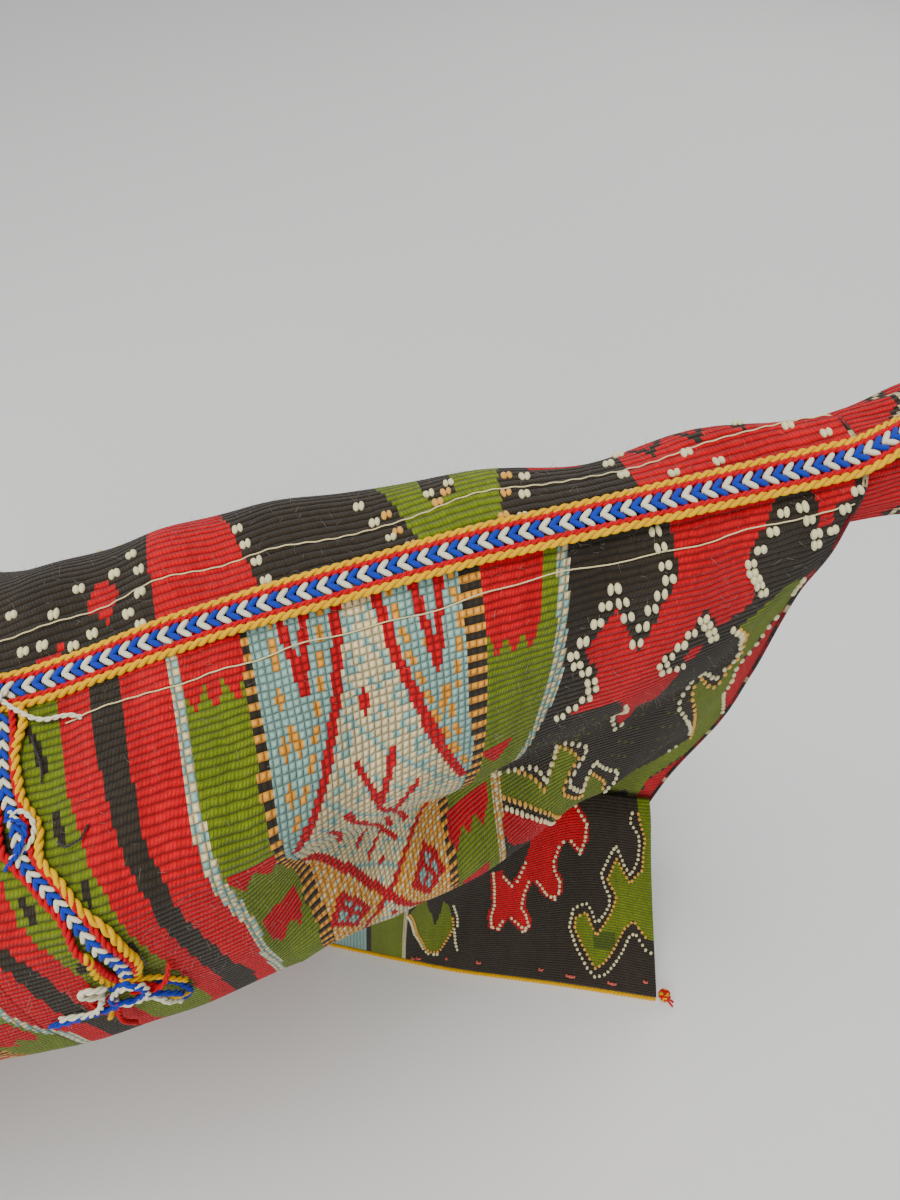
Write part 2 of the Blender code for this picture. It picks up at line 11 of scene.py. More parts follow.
import bpy
import numpy as np
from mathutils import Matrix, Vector


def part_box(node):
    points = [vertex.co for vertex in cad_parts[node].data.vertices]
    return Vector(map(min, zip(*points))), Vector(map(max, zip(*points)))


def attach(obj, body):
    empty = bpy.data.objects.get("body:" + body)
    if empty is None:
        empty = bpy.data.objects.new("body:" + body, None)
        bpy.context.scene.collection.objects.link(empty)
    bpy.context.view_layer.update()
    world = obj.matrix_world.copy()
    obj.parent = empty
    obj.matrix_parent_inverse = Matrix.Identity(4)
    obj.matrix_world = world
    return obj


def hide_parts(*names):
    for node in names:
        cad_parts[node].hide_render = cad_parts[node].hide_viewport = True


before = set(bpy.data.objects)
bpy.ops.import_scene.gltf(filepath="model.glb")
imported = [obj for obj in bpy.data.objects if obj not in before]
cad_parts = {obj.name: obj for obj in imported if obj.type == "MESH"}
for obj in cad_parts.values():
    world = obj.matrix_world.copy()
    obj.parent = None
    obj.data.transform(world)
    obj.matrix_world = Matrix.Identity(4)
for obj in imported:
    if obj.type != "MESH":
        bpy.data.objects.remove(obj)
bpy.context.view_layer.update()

# ---------------------------------------------------------------- the room
# A pale floor and soft lamps overhead, and a camera that looks down on the bag from in front.

EYE = Vector((0.06, -0.322, 0.729))
LOOK_DOWN = math.radians(50)
AIM = Vector((0.252 * math.cos(LOOK_DOWN), 0.968 * math.cos(LOOK_DOWN), -math.sin(LOOK_DOWN)))
camera = bpy.data.objects.new("camera", bpy.data.cameras.new("camera"))
camera.data.sensor_fit, camera.data.sensor_height, camera.data.lens = "VERTICAL", 36.0, 26.0
camera.data.clip_start = 0.01
camera.location, camera.rotation_euler = EYE, AIM.to_track_quat("-Z", "Y").to_euler()
bpy.context.scene.collection.objects.link(camera)
bpy.context.scene.camera = camera


def lamp(name, place, target, size, watts, tint=(1, 1, 1)):
    """A square area lamp at place, turned to target."""
    light = bpy.data.lights.new(name, "AREA")
    light.shape, light.size, light.energy, light.color = "SQUARE", size, watts, tint
    o = bpy.data.objects.new(name, light)
    o.location = place
    o.rotation_euler = (Vector(target) - Vector(place)).to_track_quat("-Z", "Y").to_euler()
    bpy.context.scene.collection.objects.link(o)


lamp("overhead", (-0.3, -0.3, 2.3), (0, 0, 0.3), 1.0, 33, (1.0, 0.985, 0.96))
lamp("window", (-1.2, -2.1, 1.5), (0, 0, 0.25), 1.6, 27, (0.98, 0.99, 1.0))
lamp("far_wall", (1.7, 1.7, 1.6), (0, 0, 0.25), 1.6, 15, (1.0, 0.99, 0.97))
world = bpy.data.worlds.new("pale_room")
bpy.context.scene.world = world
world.use_nodes = True
world.node_tree.nodes["Background"].inputs["Color"].default_value = (0.90, 0.91, 0.92, 1)
world.node_tree.nodes["Background"].inputs["Strength"].default_value = 0.56


def knot(tree, kind, *feeds, out=0, **settings):
    """Adds one shader node, feeds its inputs in order (None leaves one alone), returns an output."""
    n = tree.nodes.new("ShaderNode" + kind)
    for key, value in settings.items():
        setattr(n, key, value)
    for socket, feed in zip(n.inputs, feeds):
        if isinstance(feed, bpy.types.NodeSocket):
            tree.links.new(feed, socket)
        elif feed is not None:
            socket.default_value = feed
    return n.outputs[out]


def maths(tree, operation, *feeds):
    return knot(tree, "Math", *feeds, operation=operation)


def linear(rgb):
    """An (r, g, b) colour as seen, 0 to 255, as the light it sends back."""
    return tuple(((c / 255 + 0.055) / 1.055) ** 2.4 if c > 10 else c / 3294.6 for c in rgb)


def surface(name, roughness, metallic=0.0, specular=0.5, sheen=0.0):
    """A new material with the values that are the same all over; returns it, its tree and its shader."""
    m = bpy.data.materials.new(name)
    m.use_nodes = True
    s = m.node_tree.nodes["Principled BSDF"]
    s.inputs["Roughness"].default_value = roughness
    s.inputs["Metallic"].default_value = metallic
    s.inputs["Specular IOR Level"].default_value = specular
    s.inputs["Sheen Weight"].default_value = sheen
    s.inputs["Sheen Roughness"].default_value = 0.55
    return m, m.node_tree, s


def tinted(tree, shader, colour, amount, value):
    """Feeds the shader a colour that grows darker and lighter by amount as value goes from 0 to 1."""
    dark = tuple(c * (1 - amount) for c in colour)
    light = tuple(min(1, c * (1 + amount)) for c in colour)
    mix = tree.nodes.new("ShaderNodeMix")
    mix.data_type = "RGBA"
    mix.inputs["A"].default_value, mix.inputs["B"].default_value = (*dark, 1), (*light, 1)
    tree.links.new(value, mix.inputs["Factor"])
    tree.links.new(mix.outputs["Result"], shader.inputs["Base Color"])


def relief(tree, shader, height, depth, strength=1.0):
    """A bump of that depth in metres from a height between 0 and 1."""
    b = tree.nodes.new("ShaderNodeBump")
    b.inputs["Strength"].default_value, b.inputs["Distance"].default_value = strength, depth
    tree.links.new(height, b.inputs["Height"])
    tree.links.new(b.outputs["Normal"], shader.inputs["Normal"])


def add_piece(name, verts, faces, material, smooth=True):
    """A mesh piece with its place in its mesh."""
    mesh = bpy.data.meshes.new(name)
    mesh.from_pydata(np.asarray(verts, float).reshape(-1, 3), [], np.asarray(faces).tolist())
    mesh.materials.append(material)
    if smooth:
        mesh.polygons.foreach_set("use_smooth", np.ones(len(mesh.polygons), bool))
    mesh.update()
    o = bpy.data.objects.new(name, mesh)
    bpy.context.scene.collection.objects.link(o)
    return o


def quads(columns, rows, wrap=False):
    """Faces of a grid of points [columns, rows]; wrap joins the last row of points to the first."""
    i, j = np.meshgrid(np.arange(columns - 1), np.arange(rows if wrap else rows - 1), indexing="ij")
    k = (j + 1) % rows
    return np.stack([i * rows + j, (i + 1) * rows + j, (i + 1) * rows + k, i * rows + k],
                    -1).reshape(-1, 4)


FLOOR_HALF = 8.0
floor_paint, tree, shader = surface("pale_floor", 0.75)
clouds = knot(tree, "TexNoise", knot(tree, "TexCoord", out=3), None, 1.7, 3.0)
tinted(tree, shader, (0.84, 0.84, 0.83), 0.02, clouds)
corners = [(-1, -1, 0), (1, -1, 0), (1, 1, 0), (-1, 1, 0)]
add_piece("floor", np.array(corners) * FLOOR_HALF, [(0, 1, 2, 3)], floor_paint, smooth=False)

# ---------------------------------------------------------------- front cloth of the bag
# An old kilim, wool on wool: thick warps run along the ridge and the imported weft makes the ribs.
# It goes from the ridge seam over the roll, under its overhang and down to the floor.

STAND_Y = -0.100  # the control lines count Y from here
SPLIT_MM = -59.3  # the cloth is two widths, joined under the girth braid
RIDGE = [(-.335, -.0200, .484), (-.160, -.0200, .478), (-.0485, -.0205, .478), (.016, -.0203, .4918),
         (.042, -.0205, .497), (.080, -.0220, .504), (.121, -.0235, .511), (.160, -.0270, .517),
         (.204, -.0300, .523), (.258, -.0345, .531)]
ROOF = [(-.335, -.066, .462), (-.160, -.066, .458), (-.048, -.066, .464), (.017, -.061, .479),
        (.042, -.057, .479), (.078, -.052, .478), (.118, -.050, .482), (.150, -.049, .489),
        (.203, -.0465, .499), (.254, -.0445, .5225)]
CREASE = [(-.335, -.098, .420), (-.160, -.099, .420), (-.050, -.102, .4315), (.0158, -.0943, .4500),
          (.0383, -.0855, .4436), (.072, -.072, .4304), (.1130, -.0655, .4295), (.1400, -.061, .4375),
          (.200, -.0535, .4565), (.2491, -.0476, .5072)]
UNDER = [(-.335, -.104, .380), (-.160, -.104, .380), (-.050, -.106, .393), (.017, -.100, .400),
         (.041, -.0765, .4063), (.0722, -.0548, .3778), (.1060, -.0364, .3602), (.1400, -.0260, .3530),
         (.2028, -.0189, .3444), (.2545, -.0355, .4600)]
BELLY = [(-.335, -.096, .340), (-.155, -.098, .348), (-.050, -.1017, .3567), (.020, -.0955, .3600),
         (.042, -.0865, .3560), (.072, -.0725, .3265), (.1030, -.0610, .3111), (.1420, -.0450, .3000),
         (.197, -.0200, .2900), (.2700, -.0155, .3720)]
TUCK = [(-.335, -.055, .265), (-.155, -.058, .272), (-.055, -.062, .285), (.018, -.058, .285),
        (.042, -.050, .280), (.075, -.034, .255), (.105, -.020, .245), (.145, -.004, .235),
        (.205, .020, .225), (.2805, .003, .288)]
SHIN = [(-.335, -.005, .14), (-.155, -.005, .14), (-.060, -.005, .14), (.016, .000, .14),
        (.042, .006, .14), (.078, .018, .14), (.110, .032, .14), (.150, .042, .14),
        (.207, .052, .14), (.2763, .0215, .190)]
FOOT = [(-.335, .030, .0044), (-.155, .033, .0044), (-.060, .040, .0044), (.016, .052, .0044),
        (.042, .058, .0044), (.078, .064, .0044), (.110, .070, .0044), (.150, .070, .0044),
        (.207, .062, .0044), (.268, .040, .0044)]
CLOTH_THICK = 0.0026


def smooth_curve(t, p, at):
    """Curves through points p at t, read at at, that don't overshoot between their points.

    The slope at a point is the weighted harmonic mean of the slopes beside it, or none where they
    differ in sign. t and at may have a leading axis, with one curve for each of its entries.
    """
    t, p, at = np.asarray(t, float), np.asarray(p, float), np.asarray(at, float)
    h = np.diff(t)[..., None]
    d = np.diff(p, axis=-2) / h
    before, after = d[..., :-1, :], d[..., 1:, :]
    w1, w2 = 2 * h[..., 1:, :] + h[..., :-1, :], h[..., 1:, :] + 2 * h[..., :-1, :]
    safe = np.where(before * after > 0, 1, np.nan)
    inner = np.nan_to_num((w1 + w2) / (w1 / (before * safe) + w2 / (after * safe)))
    m = np.concatenate([d[..., :1, :], inner, d[..., -1:, :]], axis=-2)
    i = (at[..., None] >= t[..., None, 1:-1]).sum(-1)

    def pick(values, k):
        if values.ndim == 2:
            return values[k]
        return np.take_along_axis(values, k[..., None], axis=-2)

    t0 = pick(t[..., None], i)[..., 0]
    t1 = pick(t[..., None], i + 1)[..., 0]
    u = ((at - t0) / (t1 - t0))[..., None]
    w = (t1 - t0)[..., None]
    return ((1 + 2 * u) * (1 - u) ** 2 * pick(p, i) + u * (1 - u) ** 2 * w * pick(m, i)
            + u * u * (3 - 2 * u) * pick(p, i + 1) + u * u * (u - 1) * w * pick(m, i + 1))


def hang(lines, stations, rows):
    """Points [station, row] of a cloth: smooth along each control line, then across the lines,
    with the rows at equal distances down the cloth. Also the distance of each row, in mm."""
    ends = [p[0] for p in RIDGE]
    net = np.stack([smooth_curve(ends, line, stations) for line in lines], axis=1)
    net[..., 1] += STAND_Y
    run = np.cumsum(np.linalg.norm(np.diff(net, axis=1), axis=2), axis=1)
    run = np.concatenate([np.zeros((len(stations), 1)), run], axis=1)
    at = run[:, -1:] * np.linspace(0, 1, rows)[None]
    return smooth_curve(run, net, at), at * 1000


def outward(grid, column, row, side):
    """Unit normals of a grid of points, turned so that the y of the one at column and row has the
    sign of side."""
    n = np.cross(np.gradient(grid, axis=0), np.gradient(grid, axis=1))
    n = n / np.linalg.norm(n, axis=-1, keepdims=True)
    return n if n[column, row, 1] * side > 0 else -n


def faces_in(grid, normals, column, row):
    """Whether the faces that quads makes on a grid point against its normals."""
    here = grid[column, row]
    face = np.cross(grid[column + 1, row] - here, grid[column, row + 1] - here)
    return np.dot(face, normals[column, row]) < 0


def crumple(a, q, seed, height):
    """Soft unevenness of a stuffed cloth: eight slow waves across it at seeded slants."""
    rng = np.random.default_rng(seed)
    out = np.zeros(np.broadcast(a, q).shape)
    for length in np.geomspace(34, 150, 8):
        turn, phase = rng.uniform(0, math.pi), rng.uniform(0, 2 * math.pi)
        wave = np.sin(2 * math.pi * (a * math.cos(turn) + q * math.sin(turn)) / length + phase)
        out += wave * length / 150
    return height * out / 2.2


STATIONS = np.linspace(-0.335, 0.258, 457)
COLUMNS = np.arange(len(STATIONS))
A_MM = STATIONS * 1000
front, front_q = hang([RIDGE, ROOF, CREASE, UNDER, BELLY, TUCK, SHIN, FOOT], STATIONS, 197)
front_out = outward(front, 200, 40, -1)
a_grid = np.repeat(A_MM[:, None], front_q.shape[1], 1)
ease = np.clip(front_q / 25, 0, 1) * np.clip((front_q[:, -1:] - front_q) / 60, 0, 1)
ease *= np.clip((258 - a_grid) / 25, 0, 1) * np.clip((a_grid + 335) / 20, 0, 1)
puckers = 0.0009 * np.sin(a_grid / 4.4 + 1.5 * np.sin(a_grid / 31)) * np.exp(-(front_q - 14) ** 2 / 260)
front += front_out * ((crumple(a_grid, front_q, 3, 0.0016) + puckers) * ease)[..., None]
front_out = outward(front, 200, 40, -1)

# The dyed wools, as the light they send back
WOOLS = {"red": (200, 0, 20), "madder": (146, 4, 26), "green": (110, 126, 22), "dark": (52, 44, 34),
         "cream": (228, 208, 158), "sky": (146, 184, 172), "amber": (234, 158, 52),
         "moss": (78, 94, 22), "coral": (226, 92, 76)}
WOOL_NAMES = list(WOOLS)
WOOL_LIGHT = np.array([linear(WOOLS[n]) for n in WOOL_NAMES])


def wool(name):
    return WOOL_NAMES.index(name)


def within(outline, a, q):
    """Where the points (a, q) are inside a closed outline, by counting the edges crossed."""
    inside = np.zeros(a.shape, bool)
    for (x0, y0), (x1, y1) in zip(outline, outline[1:] + outline[:1]):
        if y0 != y1:
            crosses = (y0 > q) != (y1 > q)
            inside ^= crosses & (a < (x1 - x0) * (q - y0) / (y1 - y0) + x0)
    return inside


def near(line, a, q, width):
    """Where the points (a, q) are within half that width of a line of points."""
    hit = np.zeros(a.shape, bool)
    for (x0, y0), (x1, y1) in zip(line, line[1:]):
        dx, dy = x1 - x0, y1 - y0
        u = np.clip(((a - x0) * dx + (q - y0) * dy) / (dx * dx + dy * dy), 0, 1)
        hit |= (a - x0 - u * dx) ** 2 + (q - y0 - u * dy) ** 2 < (width / 2) ** 2
    return hit


# Edges of the stripes, each as its a at these distances down the cloth
DOWN = (0, 40, 60, 80, 100, 120, 140, 160, 180, 200, 240, 275)
STRIPES = [
    ("green", (-29, -29, -25, -18, -15, -11.5, -9, -9.5, -10, -17, -21, -23)),
    ("red", (-17.5, -17, -14, -8, -6.5, -3, -1, -1.5, -2, -4.5, -13, -17)),
    ("dark", (-7.5, -7, -6, -1, 1, 5, 7.5, 8, 7.5, 4, -3.5, -7)),
    ("red", (9.5, 9, 9, 11.5, 14, 17.5, 17, 15.5, 15, 13, 6, 3)),
    ("cream", (13.6, 13.6, 13.8, 15.9, 19.4, 21, 20.4, 19.5, 19.3, 17.8, 12.8, 10)),
    ("green", (34.5, 34, 33.5, 35, 37, 38.5, 37, 39, 38.5, 38, 36, 35)),
    ("amber", (38.5, 38, 38, 39, 40.6, 42.6, 43.5, 44.6, 44.6, 43.5, 42, 41)),
    ("sky", (114, 114, 114, 116.5, 115, 114, 114, 115, 117.3, 119.3, 121.5, 124)),
    ("amber", (121.5, 122, 122, 122, 120.5, 119.5, 119.5, 120.5, 122.7, 124.7, 126.5, 129)),
    ("green", (149, 153, 154.4, 154.4, 150, 147, 147, 148.5, 150, 150, 149.5, 151)),
    ("cream", (153.4, 157.6, 160.5, 159.5, 154.5, 152, 152, 153.4, 154.6, 155, 153.5, 155)),
]
GIRTH_LINE = [(-50, 0), (-47.5, 22), (-44.5, 40), (-39.5, 58), (-34, 75), (-27.5, 90), (-25.5, 104),
              (-23.5, 118), (-20, 150), (-20, 600)]
RED_HOOKS = [(188, 0), (191, 20), (191.5, 26), (188, 39), (186.5, 47), (184.8, 58), (179, 45),
             (173.5, 34), (171, 42), (167, 51), (172, 58), (174.6, 66), (176, 73), (172, 80),
             (167, 86.5), (184, 84), (198, 162), (201, 175), (205, 165), (200, 100), (202, 80),
             (200, 77), (195, 75), (192, 67), (194, 62), (198, 57), (201, 50), (203, 43), (207, 50),
             (210.5, 55.5), (214, 56), (220.5, 52), (225, 47), (222.5, 40.5), (219.8, 35), (216.5, 29),
             (217, 23), (219, 17.5), (223, 13.5), (228, 0)]
HOOKS_AMBER = [(163.5, 188), (168, 195), (171, 200), (175.4, 212), (177, 205), (179, 193.5),
               (179.6, 180), (183.4, 187), (186, 192.5), (188.6, 200), (187, 203.5), (185.2, 210),
               (184, 223), (191.3, 236), (196.4, 243), (196.2, 232), (196.2, 218), (201.4, 227),
               (207.2, 237), (207, 247)]
GREEN_HOOKS = [(150, 176)] + HOOKS_AMBER + [(212, 275), (188, 275), (179, 234), (169, 217), (162, 208),
                                            (155, 199.4)]
RED_WEDGE = [(150, 205), (156, 208), (165, 219), (176, 235), (182, 255), (184, 275), (168, 275),
             (172, 252), (162, 240), (156, 228)]
EDGE_AMBER = [(222.6, 62.6), (236, 85), (245.7, 111), (248.4, 132), (245.7, 139), (245.4, 151),
              (244, 163), (240, 156), (235, 144), (233, 152.5), (234.7, 164), (238, 179), (242, 204),
              (246.6, 246), (251.5, 276)]
EDGE_CREAM = [(240, 47), (249.5, 49), (256.7, 80), (256.9, 91), (254.4, 106), (252.6, 127), (250.6, 137),
              (249.3, 148), (250.2, 169), (249.5, 182), (253.7, 211), (258, 245), (260, 275)]
GREEN_EDGE = EDGE_AMBER + EDGE_CREAM[::-1]


def comb(a, q, left, right, top, bottom, teeth):
    """A block with a toothed lower edge."""
    share = (a - left) / (right - left) * teeth
    return (a > left) & (a < right) & (q > top) & (q < bottom + 20 * (0.5 - np.abs(share % 1 - 0.5)))


# Red lines of the brocaded panel, each as its width and then its places
PANEL_RED = [
    (3.9, (71, -2), (65.5, 38), (57, 64), (44.5, 89)), (3.9, (83, -2), (88, 28), (98, 58), (113, 93)),
    (3.4, (48, -2), (54.4, 32)), (3.4, (59.5, -2), (54.4, 32)),
    (3.2, (96, -2), (102.6, 37)), (3.2, (108, -2), (102.6, 37)),
    (2.9, (70.5, 63), (77, 77), (80, 88)), (3.4, (85, 65), (82, 80), (80, 88)),
    (3, (66, 82), (69, 91), (73, 97)), (3, (95, 85), (89, 93), (86, 99), (80, 90)),
    (3, (59, 88), (62, 98), (59, 126)), (3, (73, 97), (76, 125), (82, 150), (88, 163)),
    (2.8, (66, 141), (74, 130)), (2.8, (71, 155), (80, 148)),
    (3, (86, 99), (88, 128), (95, 158)), (2.8, (86, 150), (84, 132)),
    (3.7, (42, 115), (60, 150), (78, 184), (98, 217), (118, 262)),
    (3.7, (118, 155), (103, 167), (78, 184), (63.5, 189), (60, 202), (64, 229), (74, 266)),
    (3, (43, 268), (46, 236), (51, 228), (57, 240), (61, 268)),
]


def kilim_front(a, q, row):
    """The wool of each cell of the front cloth at (a, q), and whether it is brocaded."""
    q = np.where(q < 272, q, 544 - q)
    girth = np.interp(q, [p[1] for p in GIRTH_LINE], [p[0] for p in GIRTH_LINE])
    a = np.where(a < girth, 2 * girth - a, a)
    k = np.full(a.shape, wool("dark"))
    brocade = np.zeros(a.shape, bool)
    last = np.full(a.shape, -1000.0)
    even = row % 2 == 0
    for name, edge in STRIPES:
        to = np.interp(q, DOWN, edge)
        band = (a >= last) & (a < to)
        k[band] = wool(name)
        if name in ("cream", "sky", "amber"):
            brocade |= band
        if name == "amber":
            k[band & even] = wool("dark")
        if name == "cream":
            k[band & ((row + (a > (last + to) / 2)) % 2 == 0)] = wool("sky")
        last = to
    # the two green stripes have red combs and blocks, and the first is darned with dark wool
    for block in [(13, 35, 0, 20, 3), (17, 36, 83, 88, 2), (22, 36, 124, 140, 2),
                  (122, 144.5, 0, 32, 3), (122, 147, 182, 196, 3), (122, 140, 84, 86, 1),
                  (128, 143, 228, 242, 2)]:
        k[comb(a, q, *block)] = wool("red")
    green = (a > 14) & (a < 34)
    k[green & (q > 0) & (q < 9)] = wool("red")
    for x, y, w, h in [(-37, 24, 1.6, 8), (-33, 50, 1.7, 6), (-25.5, 72, 1.5, 5), (-18, 101, 2, 4),
                       (-42, 15, 3, 3)]:
        k[((a - x - (q - y) * 0.2) / w) ** 2 + ((q - y) / h) ** 2 < 1] = wool("dark")
    # the brocaded panel
    panel = (k == wool("sky")) & (a > 38)
    cone = panel & within([(76, -10), (82, -10), (98, 58), (113, 92), (116, 150), (78, 184), (98, 217),
                           (118, 275), (42, 275), (60, 205), (78, 184), (42, 120), (43, 92), (66, 38)], a, q)
    k[cone] = wool("cream")
    speckle = ((a * 0.39).astype(int) * 7 + row * 5 + (a * 0.13).astype(int) * 3) % 13 < 3
    streak = near([(74, 12), (68, 50), (56, 92)], a, q, 3.4)
    streak |= near([(85, 30), (96, 70), (106, 98)], a, q, 3.4)
    k[cone & (speckle | (streak & (row % 2 == 0)))] = wool("sky")
    sides = panel & ~cone & (q > 116)
    k[sides] = wool("amber")
    k[sides & (((a * 0.39).astype(int) + row) % 3 == 0)] = wool("cream")
    for line in ([(65.5, 0), (60, 32), (54, 54), (44, 77)], [(88, 0), (94, 34), (103, 62), (114, 86)],
                 [(111, 0), (112, 22), (109, 48)], [(105, 46), (110, 70)], [(47, 8), (45, 20)]):
        k[panel & near(line, a, q, 2.6) & (row % 3 != 0)] = wool("amber")
    for x, y in [(45.5, 32), (47.5, 45), (44, 50), (49, 49), (44.5, 64), (46, 20), (100, 26), (104, 52)]:
        k[panel & (np.abs(a - x) / 1.9 + np.abs(q - y) / 4.6 < 1)] = wool("amber")
    red = np.abs(a - 75.5) / 2.3 + np.abs(q - 42) / 5 < 1
    red |= (np.abs(a - 78) < 1.6) & (np.abs(q - 165) < 2.2)
    for width, *line in PANEL_RED:
        red |= near(line, a, q, width)
    for x, y, w, h in [(71, 216, 2.4, 11), (85, 221, 2.8, 10), (80, 201, 2, 3)]:
        red |= ((a - x) / w) ** 2 + ((q - y) / h) ** 2 < 1
    for window in ([(52.7, 154), (60, 165), (67.5, 179), (57, 183), (43.6, 167)],
                   [(104.5, 182), (112, 193), (117.5, 207), (105, 213), (93, 194)]):
        x, y = np.mean(window, axis=0)
        small = [(x + (u - x) * 0.62, y + (v - y) * 0.62) for u, v in window]
        red |= within(window, a, q)
        pane = within(small, a, q) & (np.abs((a - x) * 0.8 - (q - y) * 0.5) > 1.1)
        pane &= np.abs((a - x) + (q - y) * 0.9) > 1.6
        k[pane] = wool("sky")
        red &= ~pane
    k[panel & red] = wool("red")
    # the motifs of the dark field
    field = (k == wool("dark")) & (a > 150)
    k[field & within(GREEN_HOOKS, a, q)] = wool("green")
    k[field & within(GREEN_EDGE, a, q)] = wool("green")
    spots = within(RED_HOOKS, a, q) | within(RED_WEDGE, a, q)
    spots |= within([(202, 65), (209, 66), (206, 72), (201, 71)], a, q)
    spots |= within([(236, 0), (254, 0), (254, 13), (247, 15), (249, 21), (243, 22), (241, 14)], a, q)
    rim = np.interp(q, [p[1] for p in EDGE_CREAM], [p[0] for p in EDGE_CREAM])
    spots |= (a > rim + 0.8) & (q > 52)
    k[field & spots] = wool("red")
    low = field & (k == wool("dark")) & (q > 96) & (q < 240)
    k[low & (np.sin(a * 1.7) + np.sin(q * 0.9 + a) > 1.75)] = wool("moss")
    return k, brocade


def ripple(tree, value, turn=math.pi):
    """The size of the sine of value times turn."""
    return maths(tree, "ABSOLUTE", maths(tree, "SINE", maths(tree, "MULTIPLY", value, turn)))


def kilim_material(name, ribs):
    """Wool in a packed weave. The colour and the kind of weave come from the cells, and the ribs,
    picks and brocade stitches from a map that counts picks across and ribs down. The colour is
    painted darker in the grooves between the ribs and picks, as painted shade."""
    m, t, s = surface(name, 0.92, specular=0.08, sheen=0.10)
    cell = knot(t, "Attribute", attribute_name="weave")
    kind = cell.node.outputs["Alpha"]
    split = knot(t, "SeparateXYZ", knot(t, "UVMap", uv_map="threads")).node.outputs
    u, v = split[0], split[1]
    wobble = knot(t, "TexNoise", knot(t, "TexCoord", out=3), None, 130.0, 3.0)
    v = maths(t, "ADD", v, maths(t, "MULTIPLY", maths(t, "SUBTRACT", wobble, 0.5), 0.55))
    u = maths(t, "ADD", u, maths(t, "MULTIPLY", maths(t, "SUBTRACT", wobble, 0.5), 0.8))
    rib = maths(t, "POWER", ripple(t, v), 0.75)
    lean = maths(t, "ADD", u, maths(t, "MULTIPLY", v, 0.5))
    pick = maths(t, "POWER", ripple(t, lean), 0.6)
    plain = maths(t, "MULTIPLY", rib, maths(t, "ADD", maths(t, "MULTIPLY", pick, 0.34), 0.66))
    wide = ripple(t, u, math.pi / 2)
    oval = maths(t, "POWER", maths(t, "MULTIPLY", rib, maths(t, "POWER", wide, 0.7)), 0.8)
    body = knot(t, "Mix", kind, None, plain, oval)
    fibre = knot(t, "TexNoise", knot(t, "TexCoord", out=3), None, 1500.0, 3.0)
    height = maths(t, "ADD", body, maths(t, "MULTIPLY", fibre, 0.34))
    patch = knot(t, "TexNoise", knot(t, "TexCoord", out=3), None, 26.0, 4.0)
    # shade: painted shade, darkest in the grooves between ribs and picks, times a random tone from the patch
    # and fibre noise
    shade = maths(t, "ADD", maths(t, "MULTIPLY", maths(t, "POWER", body, 0.8), 0.74), 0.34)
    shade = maths(t, "MULTIPLY", shade, maths(t, "ADD", maths(t, "MULTIPLY", patch, 0.5), 0.75))
    shade = maths(t, "MULTIPLY", shade, maths(t, "ADD", maths(t, "MULTIPLY", fibre, 0.5), 0.75))
    paint = knot(t, "VectorMath", cell, None, operation="SCALE")
    t.links.new(shade, paint.node.inputs["Scale"])
    t.links.new(paint, s.inputs["Base Color"])
    relief(t, s, height, ribs)
    return m


KILIM = kilim_material("kilim_wool", 0.0011)


def thread_map(columns, rows, first=0):
    """The picks across and the ribs down at the four corners of each cell of a cloth."""
    i, j = np.meshgrid(np.arange(columns), np.arange(rows), indexing="ij")
    corners = [np.stack(c, -1) for c in ((i, j), (i + 1, j), (i + 1, j + 1), (i, j + 1))]
    return np.stack(corners, axis=2).reshape(-1, 4, 2) + np.array([first, 0])


def dye(o, colour, place):
    """Gives each face of a cloth its wool, its kind of weave in the fourth value, and its threads."""
    weave = o.data.attributes.new("weave", "FLOAT_COLOR", "CORNER")
    corners = np.repeat(colour.reshape(-1, 4), 4, axis=0)
    weave.data.foreach_set("color", corners.astype(np.float32).ravel())
    threads = o.data.uv_layers.new(name="threads")
    threads.data.foreach_set("uv", place.astype(np.float32).ravel())


def fasten(piece, stands_for=None, body="bag"):
    """Sets what a piece moves with, and hides the CAD node that it stands for."""
    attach(piece, body)
    if stands_for:
        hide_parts(stands_for)


def cloth_piece(name, grid, cells, brocade, material, seed, thick=CLOTH_THICK, flip=False, first=0):
    """A woven cloth from its outer face: one face for each pick and rib, each face in its own wool.

    The shade of the dye drifts from pick to pick across the cloth and varies a little by cell. The
    map "threads" counts picks across and ribs down, and the cloth gets its thickness inwards.
    """
    n, m = grid.shape[:2]
    faces = quads(n, m)
    place = thread_map(n - 1, m - 1, first)
    if flip:
        faces, place = faces[:, ::-1], place[:, ::-1]
    o = add_piece(name, grid, faces, material)
    rng = np.random.default_rng(seed)
    drift = np.interp(np.arange(n - 1), np.linspace(0, n, 60), rng.uniform(0.88, 1.1, 60))
    tone = drift[:, None] * rng.uniform(0.88, 1.12, (n - 1, m - 1))
    colour = np.ones((n - 1, m - 1, 4))
    colour[..., :3] = WOOL_LIGHT[cells] * tone[..., None]
    colour[..., 3] = brocade
    dye(o, colour, place)
    wall = o.modifiers.new("thickness", "SOLIDIFY")
    wall.thickness, wall.offset, wall.use_even_offset = thick, -1, False
    return o


def middles(values):
    """The value at the middle of each cell of a grid."""
    return (values[:-1, :-1] + values[1:, :-1] + values[:-1, 1:] + values[1:, 1:]) / 4


cell_a, cell_q = middles(a_grid), middles(front_q)
cell_row = np.repeat(np.arange(cell_q.shape[1])[None], len(cell_q), 0)
cells, brocade = kilim_front(cell_a, cell_q, cell_row)
CUT = int(round((SPLIT_MM - A_MM[0]) / (A_MM[1] - A_MM[0])))
turn_over = faces_in(front, front_out, 200, 40)
for name, a0, a1 in (("kilim_front_left", 0, CUT), ("kilim_front_right", CUT, len(A_MM) - 1)):
    piece = cloth_piece(name, front[a0:a1 + 1], cells[a0:a1], brocade[a0:a1], KILIM, 11 + a0,
                        flip=turn_over, first=a0)
    fasten(piece, "bag_front")

# ---------------------------------------------------------------- back cloth of the bag
# The same kind of kilim, sewn to the front cloth along the ridge. It goes over the top of the roll
# and down the back to the floor.

